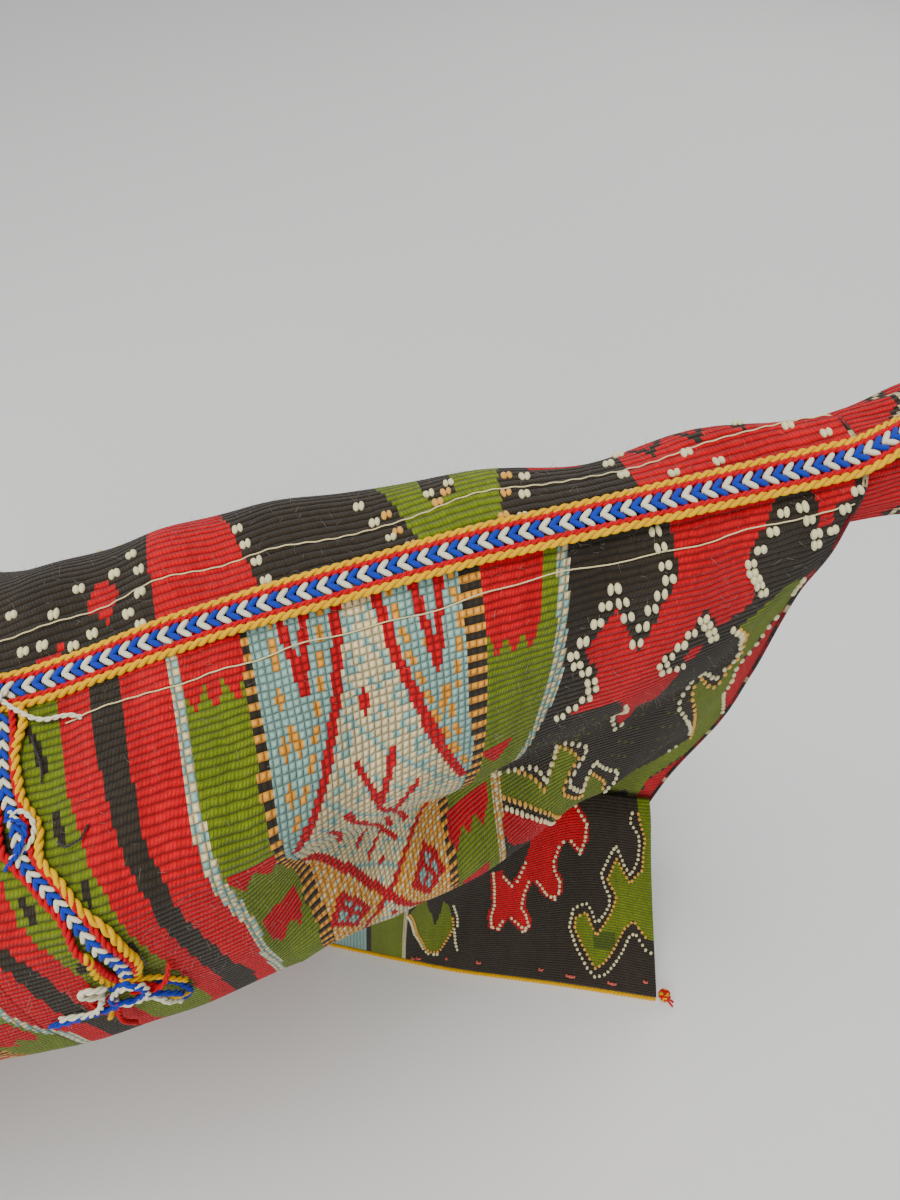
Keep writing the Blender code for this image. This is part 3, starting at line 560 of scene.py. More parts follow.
TOP = [(-.335, .022, .498), (-.160, .022, .490), (-.0485, .0180, .4850), (.016, .022, .4975),
       (.042, .020, .5005), (.080, .016, .5045), (.121, .010, .5090), (.160, .005, .5145),
       (.204, -.0030, .5225), (.258, -.0160, .5340)]
SHOULDER = [(-.335, .098, .460), (-.160, .094, .450), (-.0485, .072, .436), (.016, .064, .448),
            (.042, .060, .452), (.080, .053, .455), (.121, .045, .460), (.160, .037, .468),
            (.204, .024, .482), (.2535, -.006, .508)]
SIDE = [(-.335, .134, .360), (-.160, .132, .358), (-.0485, .112, .355), (.016, .102, .355),
        (.042, .098, .355), (.080, .092, .355), (.121, .084, .358), (.160, .074, .360),
        (.204, .055, .372), (.2575, -.0215, .455)]
HIP = [(-.335, .140, .23), (-.160, .138, .23), (-.0485, .126, .23), (.016, .122, .23),
       (.042, .120, .23), (.080, .117, .23), (.121, .113, .23), (.160, .106, .23),
       (.204, .088, .24), (.275, .003, .355)]
SHANK = [(-.335, .150, .115), (-.160, .149, .115), (-.0485, .142, .115), (.016, .138, .115),
         (.042, .137, .115), (.080, .135, .115), (.121, .132, .115), (.160, .126, .115),
         (.204, .108, .120), (.279, .030, .240)]
HEEL = [(-.335, .158, .0044), (-.160, .157, .0044), (-.0485, .150, .0044), (.016, .146, .0044),
        (.042, .145, .0044), (.080, .143, .0044), (.121, .140, .0044), (.160, .134, .0044),
        (.204, .118, .0044), (.268, .056, .0044)]
RIDGE_SEAM = 0.0045
back, back_q = hang([RIDGE, TOP, SHOULDER, SIDE, HIP, SHANK, HEEL], STATIONS, 171)
first = back[:, 1] - back[:, 0]
back[:, 0] += first / np.linalg.norm(first, axis=1, keepdims=True) * RIDGE_SEAM * 0.45
back_out = outward(back, 200, 100, 1)
b_grid = np.repeat(A_MM[:, None], back_q.shape[1], 1)
ease = np.clip(back_q / 20, 0, 1) * np.clip((back_q[:, -1:] - back_q) / 60, 0, 1)
ease *= np.clip((258 - b_grid) / 25, 0, 1) * np.clip((b_grid + 335) / 20, 0, 1)
gathers = 0.0013 * np.sin(b_grid / 9.5 + 2 * np.sin(b_grid / 47)) * np.exp(-(back_q - 34) ** 2 / 900)
back += back_out * ((crumple(b_grid, back_q, 8, 0.0018) + gathers) * ease)[..., None]
back_out = outward(back, 200, 100, 1)
RAM_HORN = [(0, -1), (.22, -.78), (.2, -.45), (.5, -.55), (.72, -.92), (1, -.5), (.72, -.12), (.42, -.1),
            (.28, .1), (.42, .3), (.75, .22), (1, .6), (.75, .95), (.5, .68), (.3, .8), (.15, 1)]


def ram_horn(x, y, w, h):
    """A hooked motif, the same on both sides of its upright middle line."""
    right = [(x + u * w, y + v * h) for u, v in RAM_HORN]
    return right + [(2 * x - u, v) for u, v in right[:0:-1]]


BACK_MOTIFS = [("red", ram_horn(72, 150, 34, 70)), ("green", ram_horn(150, 190, 36, 76)),
               ("red", ram_horn(216, 150, 30, 66)), ("amber", ram_horn(72, 150, 12, 26)),
               ("cream", ram_horn(216, 150, 11, 24)), ("green", ram_horn(-12, 130, 28, 60)),
               ("red", ram_horn(110, 350, 40, 78)), ("green", ram_horn(20, 340, 38, 80)),
               ("red", ram_horn(205, 360, 34, 70)), ("red", [(-40, 0), (-30, 0), (-25, 12), (-35, 10)]),
               ("red", [(-17, 22), (-9, 14), (-4, 26), (-12, 34)]), ("cream", ram_horn(20, 340, 12, 26)),
               ("red", ram_horn(66, 466, 34, 44)), ("green", ram_horn(160, 468, 36, 42)),
               ("green", ram_horn(-24, 466, 24, 42)), ("red", ram_horn(232, 452, 26, 40))]


def kilim_back(a, q, row):
    """The wool of each cell of the back cloth: fields at the ridge that taper into a dark ground."""
    centre = -52
    a = np.where(a < centre, 2 * centre - a, a)
    k = np.full(a.shape, wool("dark"))
    slant = q * -0.16
    k[(a > 9 + slant * 0.3) & (a < 47 + slant * 1.4) & (q < 92 - np.abs(a - 26) * 1.2)] = wool("red")
    k[(a > 106 - q * 0.26) & (a < 132 + q * 0.20) & (q < 62)] = wool("green")
    k[(a > 112 - q * 0.05) & (a < 120 + q * 0.05) & (q > 26) & (q < 62)] = wool("dark")
    k[(a > 182) & (q < 64 - np.abs(a - 218) * 0.5)] = wool("red")
    zigzag = np.abs((a * 0.062 + 0.5) % 1 - 0.5) * 2
    k[(a > 188) & (np.abs(q - 26 - 17 * zigzag) < 3)] = wool("dark")
    k[(a > 150) & (a < 170) & (q > 34) & (q < 56)] = wool("red")
    for name, outline in BACK_MOTIFS:
        k[within(outline, a, q)] = wool(name)
    brocade = np.zeros(a.shape, bool)
    band = (q > 262) & (q < 270)
    k[band], brocade[band] = wool("sky"), True
    k[band & (row % 2 == 0) & ((a * 0.38).astype(int) % 2 == 0)] = wool("cream")
    return k, brocade


cell_row = np.repeat(np.arange(back_q.shape[1] - 1)[None], len(A_MM) - 1, 0)
cells, brocade = kilim_back(middles(b_grid), middles(back_q), cell_row)
turn_over = faces_in(back, back_out, 200, 100)
for name, a0, a1 in (("kilim_back_left", 0, CUT), ("kilim_back_right", CUT, len(A_MM) - 1)):
    piece = cloth_piece(name, back[a0:a1 + 1], cells[a0:a1], brocade[a0:a1], KILIM, 31 + a0,
                        flip=turn_over, first=a0)
    fasten(piece, "bag_back")

# ---------------------------------------------------------------- loose flap of the front cloth
# A thinner length of the same kilim, sewn to the front cloth under the belly of the roll. It hangs
# forward and its hem lies on the floor.

FLAP_TOP = [(.0300, .0167, .085), (.0900, .0242, .120), (.1500, .0302, .140), (.2100, .0409, .155),
            (.2700, .0171, .165)]
FLAP_HEM = [(.0252, .0363, .0062), (.0784, .0101, .0062), (.1158, -.0077, .0062),
            (.198, -.0411, .0062), (.2671, -.0707, .0062)]
flap_x = np.linspace(FLAP_TOP[0][0], FLAP_TOP[-1][0], 189)
flap_t = np.linspace(0, 1, 75)
flap_ends = [p[0] for p in FLAP_TOP]
head_line, hem_line = smooth_curve(flap_ends, FLAP_TOP, flap_x), smooth_curve(flap_ends, FLAP_HEM, flap_x)
flap = head_line[:, None] * (1 - flap_t[None, :, None]) + hem_line[:, None] * flap_t[None, :, None]
flap[..., 1] += (STAND_Y + 0.003 * np.sin(math.pi * flap_t)[None]
                 + 0.0042 * np.clip(1 - flap_t / 0.12, 0, 1) ** 2)
fx, ft = np.meshgrid(flap_x * 1000, flap_t, indexing="ij")
flap[..., 1] += 0.0022 * np.sin(fx / 19 + 2.2 * ft) * np.sin(math.pi * ft) ** 0.8
flap_out = outward(flap, 100, 40, -1)
FLAP_RED = [(164, .29), (167, .40), (169, .52), (168, .60), (169.5, .68), (176, .70), (180, .62),
            (190, .72), (194, .67), (192, .60), (189, .55), (190, .47), (192.5, .40), (196, .44),
            (200, .50), (206, .54), (212, .50), (212.5, .43), (209, .37), (208, .32), (212, .24),
            (216, .22), (222, .28), (226, .30), (230, .22), (231, .13), (222, .02), (196, .02),
            (190, .16), (187, .27), (180, .39), (172, .30)]
FLAP_HOOKS = [(264, -.1), (262, .05), (263, .10), (264.5, .14), (266.3, .19), (265.2, .26), (264.6, .35),
              (260, .39), (256.8, .43), (253.8, .39), (248.4, .31), (242.4, .43), (246, .48),
              (247.8, .51), (246.5, .55), (243, .62), (239, .67), (234, .73), (231, .68), (228, .61),
              (221, .64), (220, .70), (224, .78), (229, .86), (232, .90), (237, .87), (242, .82),
              (247, .75), (252, .67), (258, .62), (266, .70), (276, .70), (276, -.1)]
FLAP_LEAF = [(98, .46), (104, .40), (112, .36), (117, .50), (122, .57), (127, .68), (130, .60),
             (131, .46), (137, .50), (142, .60), (145, .68), (143, .74), (140, .80), (136, .88),
             (127, .895), (121, .87), (115, .80), (109, .73), (106, .65), (103, .56)]


def kilim_flap(x, t, row):
    """The wool of each cell of the flap at (x, t), t being 0 at its head and 1 at its hem."""
    k = np.full(x.shape, wool("dark"))
    k[x < 92] = wool("green")
    k[x < 65] = wool("dark")
    k[x < 61] = wool("sky")
    brocade = x < 61
    line = np.abs(x - 94.5) < 2.4
    k[line], brocade = wool("cream"), brocade | line
    k[line & (x > 94.5) & (row % 2 == 0)] = wool("sky")
    for name, outline in (("red", FLAP_RED), ("green", FLAP_HOOKS), ("green", FLAP_LEAF)):
        k[within(outline, x, t)] = wool(name)
    k[(x > 232) & (x < 246) & (t > .70) & (t < .80) & (k == wool("green"))] = wool("moss")
    return k, brocade


cell_x, cell_t = middles(fx), middles(ft)
cell_row = np.repeat(np.arange(len(flap_t) - 1)[None], len(flap_x) - 1, 0)
cells, brocade = kilim_flap(cell_x, cell_t, cell_row)
FLAP_KILIM = kilim_material("kilim_flap_wool", 0.0007)
flap_piece = cloth_piece("kilim_flap", flap, cells, brocade, FLAP_KILIM, 57, 0.0022,
                         flip=faces_in(flap, flap_out, 100, 40))
fasten(flap_piece, "bag_flap")

# ---------------------------------------------------------------- beads of the motifs
# Raised stitches of cream and amber wool that outline the hooked motifs. Each stitch passes over
# two picks and stands proud of the ground like a small oval bead.


def on_grid(grid, normals, col, row, lift=0.0):
    """Points and normals on a cloth at fractional columns and rows, lifted off it."""
    col, row = np.clip(col, 0, grid.shape[0] - 1.001), np.clip(row, 0, grid.shape[1] - 1.001)
    i, j = col.astype(int), row.astype(int)
    u, v = (col - i)[..., None], (row - j)[..., None]

    def mixed(g):
        return (g[i, j] * (1 - u) * (1 - v) + g[i + 1, j] * u * (1 - v) + g[i, j + 1] * (1 - u) * v
                + g[i + 1, j + 1] * u * v)

    n = mixed(normals)
    n = n / np.linalg.norm(n, axis=-1, keepdims=True)
    return mixed(grid) + n * np.asarray(lift)[..., None], n


def on_cloth(grid, normals, down, places, lift):
    """Points and normals of a cloth at (a, q) in mm; down is each row's distance down the cloth."""
    a, q = np.asarray(places, float).T
    col = (a - A_MM[0]) / (A_MM[1] - A_MM[0])
    full = np.interp(a, A_MM, down[:, -1])
    return on_grid(grid, normals, col, q / full * (grid.shape[1] - 1), lift)


def on_front(places, lift=0.0):
    return on_cloth(front, front_out, front_q, places, lift)


def on_back(places, lift=0.0):
    return on_cloth(back, back_out, back_q, places, lift)


def on_flap(places, lift=0.0):
    """Points and normals of the flap at (x in mm, t)."""
    x, t = np.asarray(places, float).T
    return on_grid(flap, flap_out, (x - fx[0, 0]) / (fx[1, 0] - fx[0, 0]), t * (len(flap_t) - 1), lift)


def beads(name, places, where, half, material, seed):
    """Many small ovals on a cloth. Each is a ball of 8 by 5 points stretched to half its sizes
    (across, down, proud), set on the cloth at its place and turned with it."""
    rng = np.random.default_rng(seed)
    places = np.asarray(places, float)
    places = places[(places[:, 0] > -333) & (places[:, 0] < (256.5 if where is not on_flap else 269))]
    centre, up = where(places, half[2] * 0.35)
    step = np.array([0.8, 0.0])
    ahead = where(places + step)[0] - where(places - step)[0]
    ahead = ahead / np.linalg.norm(ahead, axis=1, keepdims=True)
    down = np.cross(up, ahead)
    size = np.array(half)[None] * rng.uniform(0.85, 1.15, (len(places), 3))
    turn = rng.uniform(-0.2, 0.2, len(places))[:, None]
    ahead, down = ahead * np.cos(turn) + down * np.sin(turn), down * np.cos(turn) - ahead * np.sin(turn)
    lat, lon = np.meshgrid(np.linspace(-math.pi / 2 + 0.35, math.pi / 2 - 0.35, 5),
                           np.arange(8) * math.pi / 4, indexing="ij")
    ball = np.stack([np.cos(lat) * np.cos(lon), np.sin(lat), np.cos(lat) * np.sin(lon)], -1).reshape(-1, 3)
    axes = np.stack([ahead * size[:, :1], down * size[:, 1:2], up * size[:, 2:]], axis=1)
    verts = centre[:, None] + np.einsum("kj,njc->nkc", ball, axes)
    body = quads(5, 8, wrap=True)
    one = [list(f) for f in body] + [list(range(8)), list(range(32, 40))[::-1]]
    solid = np.linalg.det(axes[0]) > 0
    faces = []
    for n in range(len(places)):
        faces += [[v + 40 * n for v in (f if not solid else f[::-1])] for f in one]
    return ragged_piece(name, verts.reshape(-1, 3), faces, material)


def ragged_piece(name, verts, faces, material):
    """A mesh piece whose faces have unlike numbers of corners."""
    mesh = bpy.data.meshes.new(name)
    mesh.from_pydata(np.asarray(verts, float).tolist(), [], faces)
    mesh.materials.append(material)
    mesh.polygons.foreach_set("use_smooth", np.ones(len(mesh.polygons), bool))
    mesh.update()
    o = bpy.data.objects.new(name, mesh)
    bpy.context.scene.collection.objects.link(o)
    return o


def yarn_material(name, rgb, sheen=0.3):
    """Spun wool or cotton of one colour, a little uneven, with fibres too fine to model."""
    m, t, s = surface(name, 0.85, specular=0.15, sheen=sheen)
    here = knot(t, "TexCoord", out=3)
    fibre = knot(t, "TexNoise", here, None, 2200.0, 3.0)
    patch = knot(t, "TexNoise", here, None, 90.0, 2.0)
    tone = maths(t, "ADD", maths(t, "MULTIPLY", fibre, 0.6), maths(t, "MULTIPLY", patch, 0.4))
    tinted(t, s, linear(rgb), 0.38, tone)
    relief(t, s, fibre, 0.00035)
    return m


CREAM_YARN = yarn_material("cream_yarn", (236, 218, 168))
AMBER_YARN = yarn_material("amber_yarn", (236, 164, 56))


def walk(line, pitch, aside=0.0, aspect=1.0):
    """Places at an even pitch along a line of points, moved aside to its left."""
    line = np.asarray(line, float) * np.array([1, aspect])
    step = np.diff(line, axis=0)
    run = np.concatenate([[0], np.cumsum(np.linalg.norm(step, axis=1))])
    at = np.arange(pitch / 2, run[-1], pitch)
    k = np.clip(np.searchsorted(run, at) - 1, 0, len(step) - 1)
    way = step[k] / np.linalg.norm(step[k], axis=1, keepdims=True)
    spot = line[k] + way * (at - run[k])[:, None] + aside * np.stack([way[:, 1], -way[:, 0]], -1)
    return spot / np.array([1, aspect])


def paired(places, apart):
    """Two places side by side for each one."""
    p = np.asarray(places, float)
    return np.concatenate([p - [apart / 2, 0], p + [apart / 2, 0]])


CREAM_PAIRS = [(184, 9), (186, 15), (187.5, 21.6), (189, 27), (187, 32.5), (185, 38), (183.5, 45),
               (183, 52), (172, 26), (170, 32), (175.3, 32), (168.4, 38.5), (178, 39), (164.8, 45),
               (162.5, 50), (165, 55), (169, 59.5), (172.3, 65.5), (173.5, 70), (172.6, 75),
               (169, 79), (165.5, 83), (203, 49), (205.4, 53), (208.6, 57.5), (210.8, 62), (200, 54.5),
               (197.6, 59.5), (194.6, 64), (193.8, 68), (195.4, 73), (200.6, 74.5), (228, 12.4),
               (235, 12), (224, 18), (220, 24), (217.5, 29.5), (219, 34), (222, 37.5), (224.5, 41),
               (228, 45.5), (238, 17.3), (243, 24), (245.5, 29), (251, 25), (252, 17), (255, 11)]
HOOKS_CREAM = [(158, 183), (166, 188), (170.2, 191), (173, 195.6), (176.3, 207.8), (177.8, 196),
               (179, 188), (178.7, 178), (182, 178), (187.3, 185.5), (190.4, 190), (190.2, 197.5),
               (189, 205), (187.5, 212), (186.3, 218.6), (191.7, 229), (195.8, 236), (195.3, 223),
               (196.2, 208), (200.7, 216.4), (206.3, 224), (212, 229), (212.6, 241), (209, 250), (210, 262)]
EDGE_INNER = [(218, 60), (226, 70), (240, 98), (246, 120), (246.8, 134), (243.5, 143), (242, 151),
              (237, 140), (232, 133), (229, 142), (230, 153.6), (228.7, 161), (230, 172), (235, 185.5),
              (240, 207), (248, 263)]
cream = list(paired(CREAM_PAIRS, 2.3))
# under the roll the stitches are longer, so a line needs fewer of them down the cloth
cream_low = np.concatenate([walk(HOOKS_CREAM, 3.5, 0, 0.62), walk(EDGE_INNER, 3.6, 0, 0.42),
                            walk(EDGE_CREAM[1:], 3.6, 0, 0.42), walk([(150, 180), (158, 183)], 3.5),
                            walk([(155.7, 206.2), (161.5, 213.2), (168.7, 223.5), (176.5, 237.4),
                                  (183, 256)], 3.4, 0, 0.7),
                            walk([(186, 90), (190, 110), (196, 160), (200, 179), (204, 170)], 4.0, 0, 0.5)])
amber_low = np.concatenate([walk(HOOKS_AMBER, 3.5, 0, 0.62), walk(EDGE_AMBER, 3.6, 0, 0.42),
                            walk([(155, 199.4), (162.2, 208), (169.1, 217.3), (179, 233.8),
                                  (186, 252)], 3.4, 0, 0.7)])
# both halves of the front cloth mirror each other about the girth braid


def mirrored(places):
    """The places on the other side of the girth braid that stay on the cloth."""
    p = np.asarray(places, float)
    line_q, line_a = [g[1] for g in GIRTH_LINE], [g[0] for g in GIRTH_LINE]
    other = np.stack([2 * np.interp(p[:, 1], line_q, line_a) - p[:, 0], p[:, 1]], -1)
    return other[other[:, 0] > -330]


low_again = np.concatenate([cream_low, cream_low * [1, -1] + [0, 544]])
amber_again = np.concatenate([amber_low, amber_low * [1, -1] + [0, 544]])
near_side = low_again[low_again[:, 1] < 300]
pieces = [beads("cream_beads_roll", cream, on_front, (0.0012, 0.0020, 0.0013), CREAM_YARN, 2),
          beads("cream_beads_belly", near_side, on_front, (0.0011, 0.0024, 0.0010), CREAM_YARN, 3),
          beads("amber_beads_belly", amber_low, on_front, (0.0010, 0.0022, 0.0008), AMBER_YARN, 4),
          beads("cream_beads_left", np.concatenate([mirrored(cream), mirrored(low_again)]), on_front,
                (0.0010, 0.0018, 0.0009), CREAM_YARN, 5),
          beads("amber_beads_left", mirrored(amber_again), on_front, (0.0010, 0.0017, 0.0009),
                AMBER_YARN, 6)]
FLAP_ASPECT = 150.0  # the flap's mean length in mm, for even steps along its outlines
FLAP_OUTER = [(259, .05), (256.6, .10), (259.8, .14), (262.2, .17), (262.8, .22), (261.8, .30),
              (259.4, .35), (257, .385), (253.2, .34), (251.4, .30), (248, .24), (244.5, .29),
              (241.2, .35), (238.4, .40), (240.8, .47), (243.4, .51), (243.2, .56), (240, .61),
              (236, .65), (233.6, .66), (231.5, .60), (228, .56), (219.5, .59), (216.5, .69),
              (220.5, .80), (226.5, .90), (231.5, .945), (238.5, .92), (244.5, .86), (250, .79),
              (254.5, .71), (258.5, .68), (265, .76), (270, .77)]
flap_cream = np.concatenate([
    walk(FLAP_RED[:27], 3.7, 2.0, FLAP_ASPECT), walk(FLAP_OUTER, 3.7, 0, FLAP_ASPECT),
    walk([(181, .42), (173, .33)], 4.0, 0, FLAP_ASPECT),
    walk([(184, .40), (189, .28)], 4.0, 1.5, FLAP_ASPECT),
    walk([(146, .68), (150, .80), (153, .86)], 4.0, 0, FLAP_ASPECT),
    walk([(141, .50), (147, .60), (149, .68)], 4.0, 0, FLAP_ASPECT),
    walk(FLAP_LEAF[13:] + FLAP_LEAF[:1], 3.9, 3.6, FLAP_ASPECT)])
flap_amber = np.concatenate([
    walk(FLAP_HOOKS[1:31], 3.7, 0, FLAP_ASPECT), walk(FLAP_LEAF[9:] + FLAP_LEAF[:1], 3.9, 0.8, FLAP_ASPECT)])
keep = ((flap_cream[:, 0] > 32) & (flap_cream[:, 0] < 269)
        & (flap_cream[:, 1] > 0.03) & (flap_cream[:, 1] < 0.96))
flap_cream = flap_cream[keep]
flap_amber = flap_amber[(flap_amber[:, 0] < 269) & (flap_amber[:, 1] > 0.03)]
pieces += [beads("cream_beads_flap", flap_cream, on_flap, (0.0012, 0.0015, 0.0010), CREAM_YARN, 7),
           beads("amber_beads_flap", flap_amber, on_flap, (0.0011, 0.0014, 0.0008), AMBER_YARN, 8)]
BACK_PAIRS = [(-44, 30), (-40, 14), (-33, 14), (-28, 24), (-22, 10), (-19, 32), (-15, 12), (-6, 34),
              (-1, 14), (4, 20), (4, 30), (1, 40), (3, 8), (48, 10), (46, 19), (43, 28), (41, 37),
              (50, 3), (98, 6), (94, 15), (90, 24), (86, 34), (112, 30), (120, 33), (140, 8),
              (144, 18), (147, 28), (178, 8), (180, 18), (178, 28), (184, 36), (196, 12), (204, 20),
              (212, 12), (226, 30), (240, 20), (250, 12)]
BACK_AMBER = [(100, 9), (97, 17), (95, 26), (114, 24), (118, 28), (134, 10), (138, 20), (141, 30)]
other_side = [(-104 - x, y) for x, y in BACK_PAIRS if -104 - x > -330]
outlines = [walk(o + o[:1], 6.0, 3.0) for n, o in BACK_MOTIFS if n in ("red", "green") and len(o) > 8]
outlines = np.concatenate(outlines)
far = outlines * [-1, 1] + [-104, 0]
outlines = np.concatenate([outlines[outlines[:, 0] > -50], far[(far[:, 0] > -330) & (far[:, 0] < -54)]])
pieces += [beads("cream_beads_back", np.concatenate([paired(BACK_PAIRS + other_side, 2.0), outlines]),
                 on_back, (0.0012, 0.0020, 0.0012), CREAM_YARN, 9),
           beads("amber_beads_back", paired(BACK_AMBER, 2.0), on_back, (0.0011, 0.0019, 0.0011),
                 AMBER_YARN, 10)]
for piece in pieces:
    fasten(piece)

# ---------------------------------------------------------------- tail of the bag
# Past the side fold the cloth is gathered into a stump and its end is rolled inwards.

TAIL = [(.2570, .0195), (.2600, .0212), (.2750, .0222), (.2950, .0256), (.3150, .0286), (.3280, .0247),
        (.3336, .0140), (.3338, .0060), (.3325, .0004)]
TAIL_Y, TAIL_Z, TAIL_RISE = -.0195 + STAND_Y, .5120, 0.10
AROUND, ALONG = 96, 49
tail_s = np.linspace(0, 1, ALONG)
tail_run = np.concatenate([[0], np.cumsum(np.linalg.norm(np.diff(TAIL, axis=0), axis=1))])
tail_line = smooth_curve(tail_run / tail_run[-1], TAIL, tail_s)
angle = np.arange(AROUND) * 2 * math.pi / AROUND
fold = 1 - (0.05 * (1 + np.sin(9 * angle + 0.6))[None]
            * np.sin(math.pi * np.clip(tail_s * 1.15, 0, 1))[:, None] ** 0.5)
fold *= 1 - 0.03 * (1 + np.sin(4 * angle + 8 * tail_s[:, None]))
tail_r = tail_line[:, 1:2] * fold
tail = np.stack([np.repeat(tail_line[:, :1], AROUND, 1), TAIL_Y + tail_r * np.cos(angle)[None],
                 TAIL_Z + TAIL_RISE * (tail_line[:, :1] - 0.26) + tail_r * np.sin(angle)[None]], -1)
faces = quads(ALONG, AROUND, wrap=True)
tail_m, tail_k = np.meshgrid(tail_s, angle, indexing="ij")
run = tail_m[:-1] * 100
turn_mm = (tail_k[:-1] - math.pi / 2) * 25
zig = np.abs((turn_mm * 0.055 + 0.5) % 1 - 0.5) * 14
cells = np.full(run.shape, wool("red"))
cells[np.abs(run - 22 - zig) < 4] = wool("dark")
cells[np.abs(run - 22 - zig) < 1.4] = wool("cream")
cells[np.abs(run - 58 + zig) < 3.4] = wool("dark")
cells[run > 78] = wool("madder")
colour = np.ones((len(faces), 4))
shades = np.random.default_rng(77).uniform(0.85, 1.12, len(faces))
colour[:, :3] = WOOL_LIGHT[cells.reshape(-1)] * shades[:, None]
colour[:, 3] = 0
tail_piece = add_piece("kilim_tail", tail, faces[:, ::-1], KILIM)
dye(tail_piece, colour, thread_map(ALONG - 1, AROUND)[:, ::-1] * [1.6, 0.6])
fasten(tail_piece, "bag_tail")

# ---------------------------------------------------------------- side binding
# Along the fold the front and back cloths are drawn together with a narrow woven strip, whipped on.

side_rows = np.linspace(0, 1, 150)
front_edge = on_grid(front, front_out, np.full(150, 456.0), 1 + side_rows * 195)[0]
back_edge = on_grid(back, back_out, np.full(150, 456.0), 1 + side_rows * 169)[0]
across = np.linspace(0, 1, 15)
strip = front_edge[:, None] * (1 - across[None, :, None]) + back_edge[:, None] * across[None, :, None]
bulge = (0.0035 * np.sin(math.pi * across)[None]
         * np.sin(math.pi * np.clip(side_rows * 1.2 - 0.1, 0.02, 1))[:, None] ** 0.4)
strip[..., 0] += bulge - 0.0012
row_id, col_id = np.meshgrid(np.arange(149), np.arange(14), indexing="ij")
cells = np.where((row_id // 5 + col_id // 5) % 2 == 0, wool("dark"), wool("madder"))
cells[row_id % 24 < 2] = wool("cream")
side = cloth_piece("side_binding", strip, cells, np.zeros(cells.shape), KILIM, 91, 0.0020, flip=True)
fasten(side)

# ---------------------------------------------------------------- base panel
# A flat rectangle of coarse dark sacking, sewn to the feet of the two cloths.

BASE_COLUMNS, BASE_ROWS = 90, 24
span = smooth_curve([p[0] for p in FOOT], FOOT, np.linspace(-0.335, 0.268, BASE_COLUMNS))
rear = smooth_curve([p[0] for p in HEEL], HEEL, np.linspace(-0.335, 0.268, BASE_COLUMNS))
share = np.linspace(0, 1, BASE_ROWS)[None, :, None]
rim_in = np.array([0, 0.004, 0])
base = (span - rim_in)[:, None] * (1 - share) + (rear + rim_in)[:, None] * share
base[..., 1] += STAND_Y
base[..., 2] = 0.0038
sacking, tree, shader = surface("base_sacking", 0.95, specular=0.1, sheen=0.2)
here = knot(tree, "TexCoord", out=3)
wave_x = knot(tree, "TexWave", here, 180.0, 1.0, 1.0, out=1, wave_type="BANDS", bands_direction="X")
wave_y = knot(tree, "TexWave", here, 180.0, 1.0, 1.0, out=1, wave_type="BANDS", bands_direction="Y")
net = maths(tree, "MULTIPLY", wave_x, wave_y)
# the colour is lighter where the threads cross and darker in the gaps between them: painted shade in the
# hollows of the weave
tinted(tree, shader, linear((70, 56, 44)), 0.35, net)
relief(tree, shader, net, 0.0006)
base_piece = add_piece("base_panel", base, quads(BASE_COLUMNS, BASE_ROWS), sacking)
wall = base_piece.modifiers.new("thickness", "SOLIDIFY")
wall.thickness, wall.offset = 0.0034, -1
fasten(base_piece, "bag_base")

# ---------------------------------------------------------------- ridge braid
# The ridge seam is hidden under a braid: a blue and white plait in the middle, a red cord on each
# side of it, and a thick two-ply yellow cord along each edge. It runs on over the tail.

YELLOW_YARN = yarn_material("yellow_yarn", (255, 178, 0), 0.0)
RED_YARN = yarn_material("red_yarn", (200, 0, 22), 0.05)
BLUE_YARN = yarn_material("blue_yarn", (30, 56, 170), 0.05)
WHITE_YARN = yarn_material("white_yarn", (232, 222, 192), 0.1)
DARK_YARN = yarn_material("dark_yarn", (38, 32, 30))
CORAL_YARN = yarn_material("coral_yarn", (230, 96, 82))


def unit(v):
    return v / np.maximum(np.linalg.norm(v, axis=-1, keepdims=True), 1e-12)


def even(path, pitch):
    """A path read again at an even pitch."""
    path = np.asarray(path, float)
    run = np.concatenate([[0], np.cumsum(np.linalg.norm(np.diff(path[:, :3], axis=0), axis=1))])
    at = np.linspace(0, run[-1], max(4, int(run[-1] / pitch)))
    return np.stack([np.interp(at, run, path[:, k]) for k in range(path.shape[1])], -1)


def strand(path, up, radius, sides=6):
    """A closed tube: circles of that radius square to the path, shrunk at both ends to round them."""
    along = unit(np.gradient(path, axis=0))
    side = unit(np.cross(along, up))
    top = np.cross(side, along)
    turn = np.arange(sides) * 2 * math.pi / sides
    r = np.full(len(path), radius) if np.ndim(radius) == 0 else np.asarray(radius)
    r = r * 1.0
    r[0] *= 0.35
    r[-1] *= 0.35
    ring = path[:, None] + r[:, None, None] * (side[:, None] * np.cos(turn)[None, :, None]
                                                + top[:, None] * np.sin(turn)[None, :, None])
    n = len(path)
    faces = [list(f) for f in quads(n, sides, wrap=True)]
    faces += [list(range(sides)), [(n - 1) * sides + k for k in range(sides)][::-1]]
    return ring.reshape(-1, 3), faces


def bundle(name, strands, material):
    """One piece from several closed meshes."""
    verts, faces, n = [], [], 0
    for v, f in strands:
        verts.append(v)
        faces += [[k + n for k in face] for face in f]
        n += len(v)
    return ragged_piece(name, np.concatenate(verts), faces, material)


def plied(path, up, across, offset, lift, ply, turn_length, plies=2, phase=0.0):
    """The plies of a cord that runs beside a path: each winds round the cord's middle line once in
    turn_length, at the radius of one ply."""
    run = np.concatenate([[0], np.cumsum(np.linalg.norm(np.diff(path, axis=0), axis=1))])
    middle = path + across * offset + up * lift
    made = []
    for k in range(plies):
        a = 2 * math.pi * (run / turn_length + k / plies) + phase
        wind = (across * np.cos(a)[:, None] + up * np.sin(a)[:, None]) * ply * 0.92
        made.append(strand(middle + wind, up, ply))
    return made


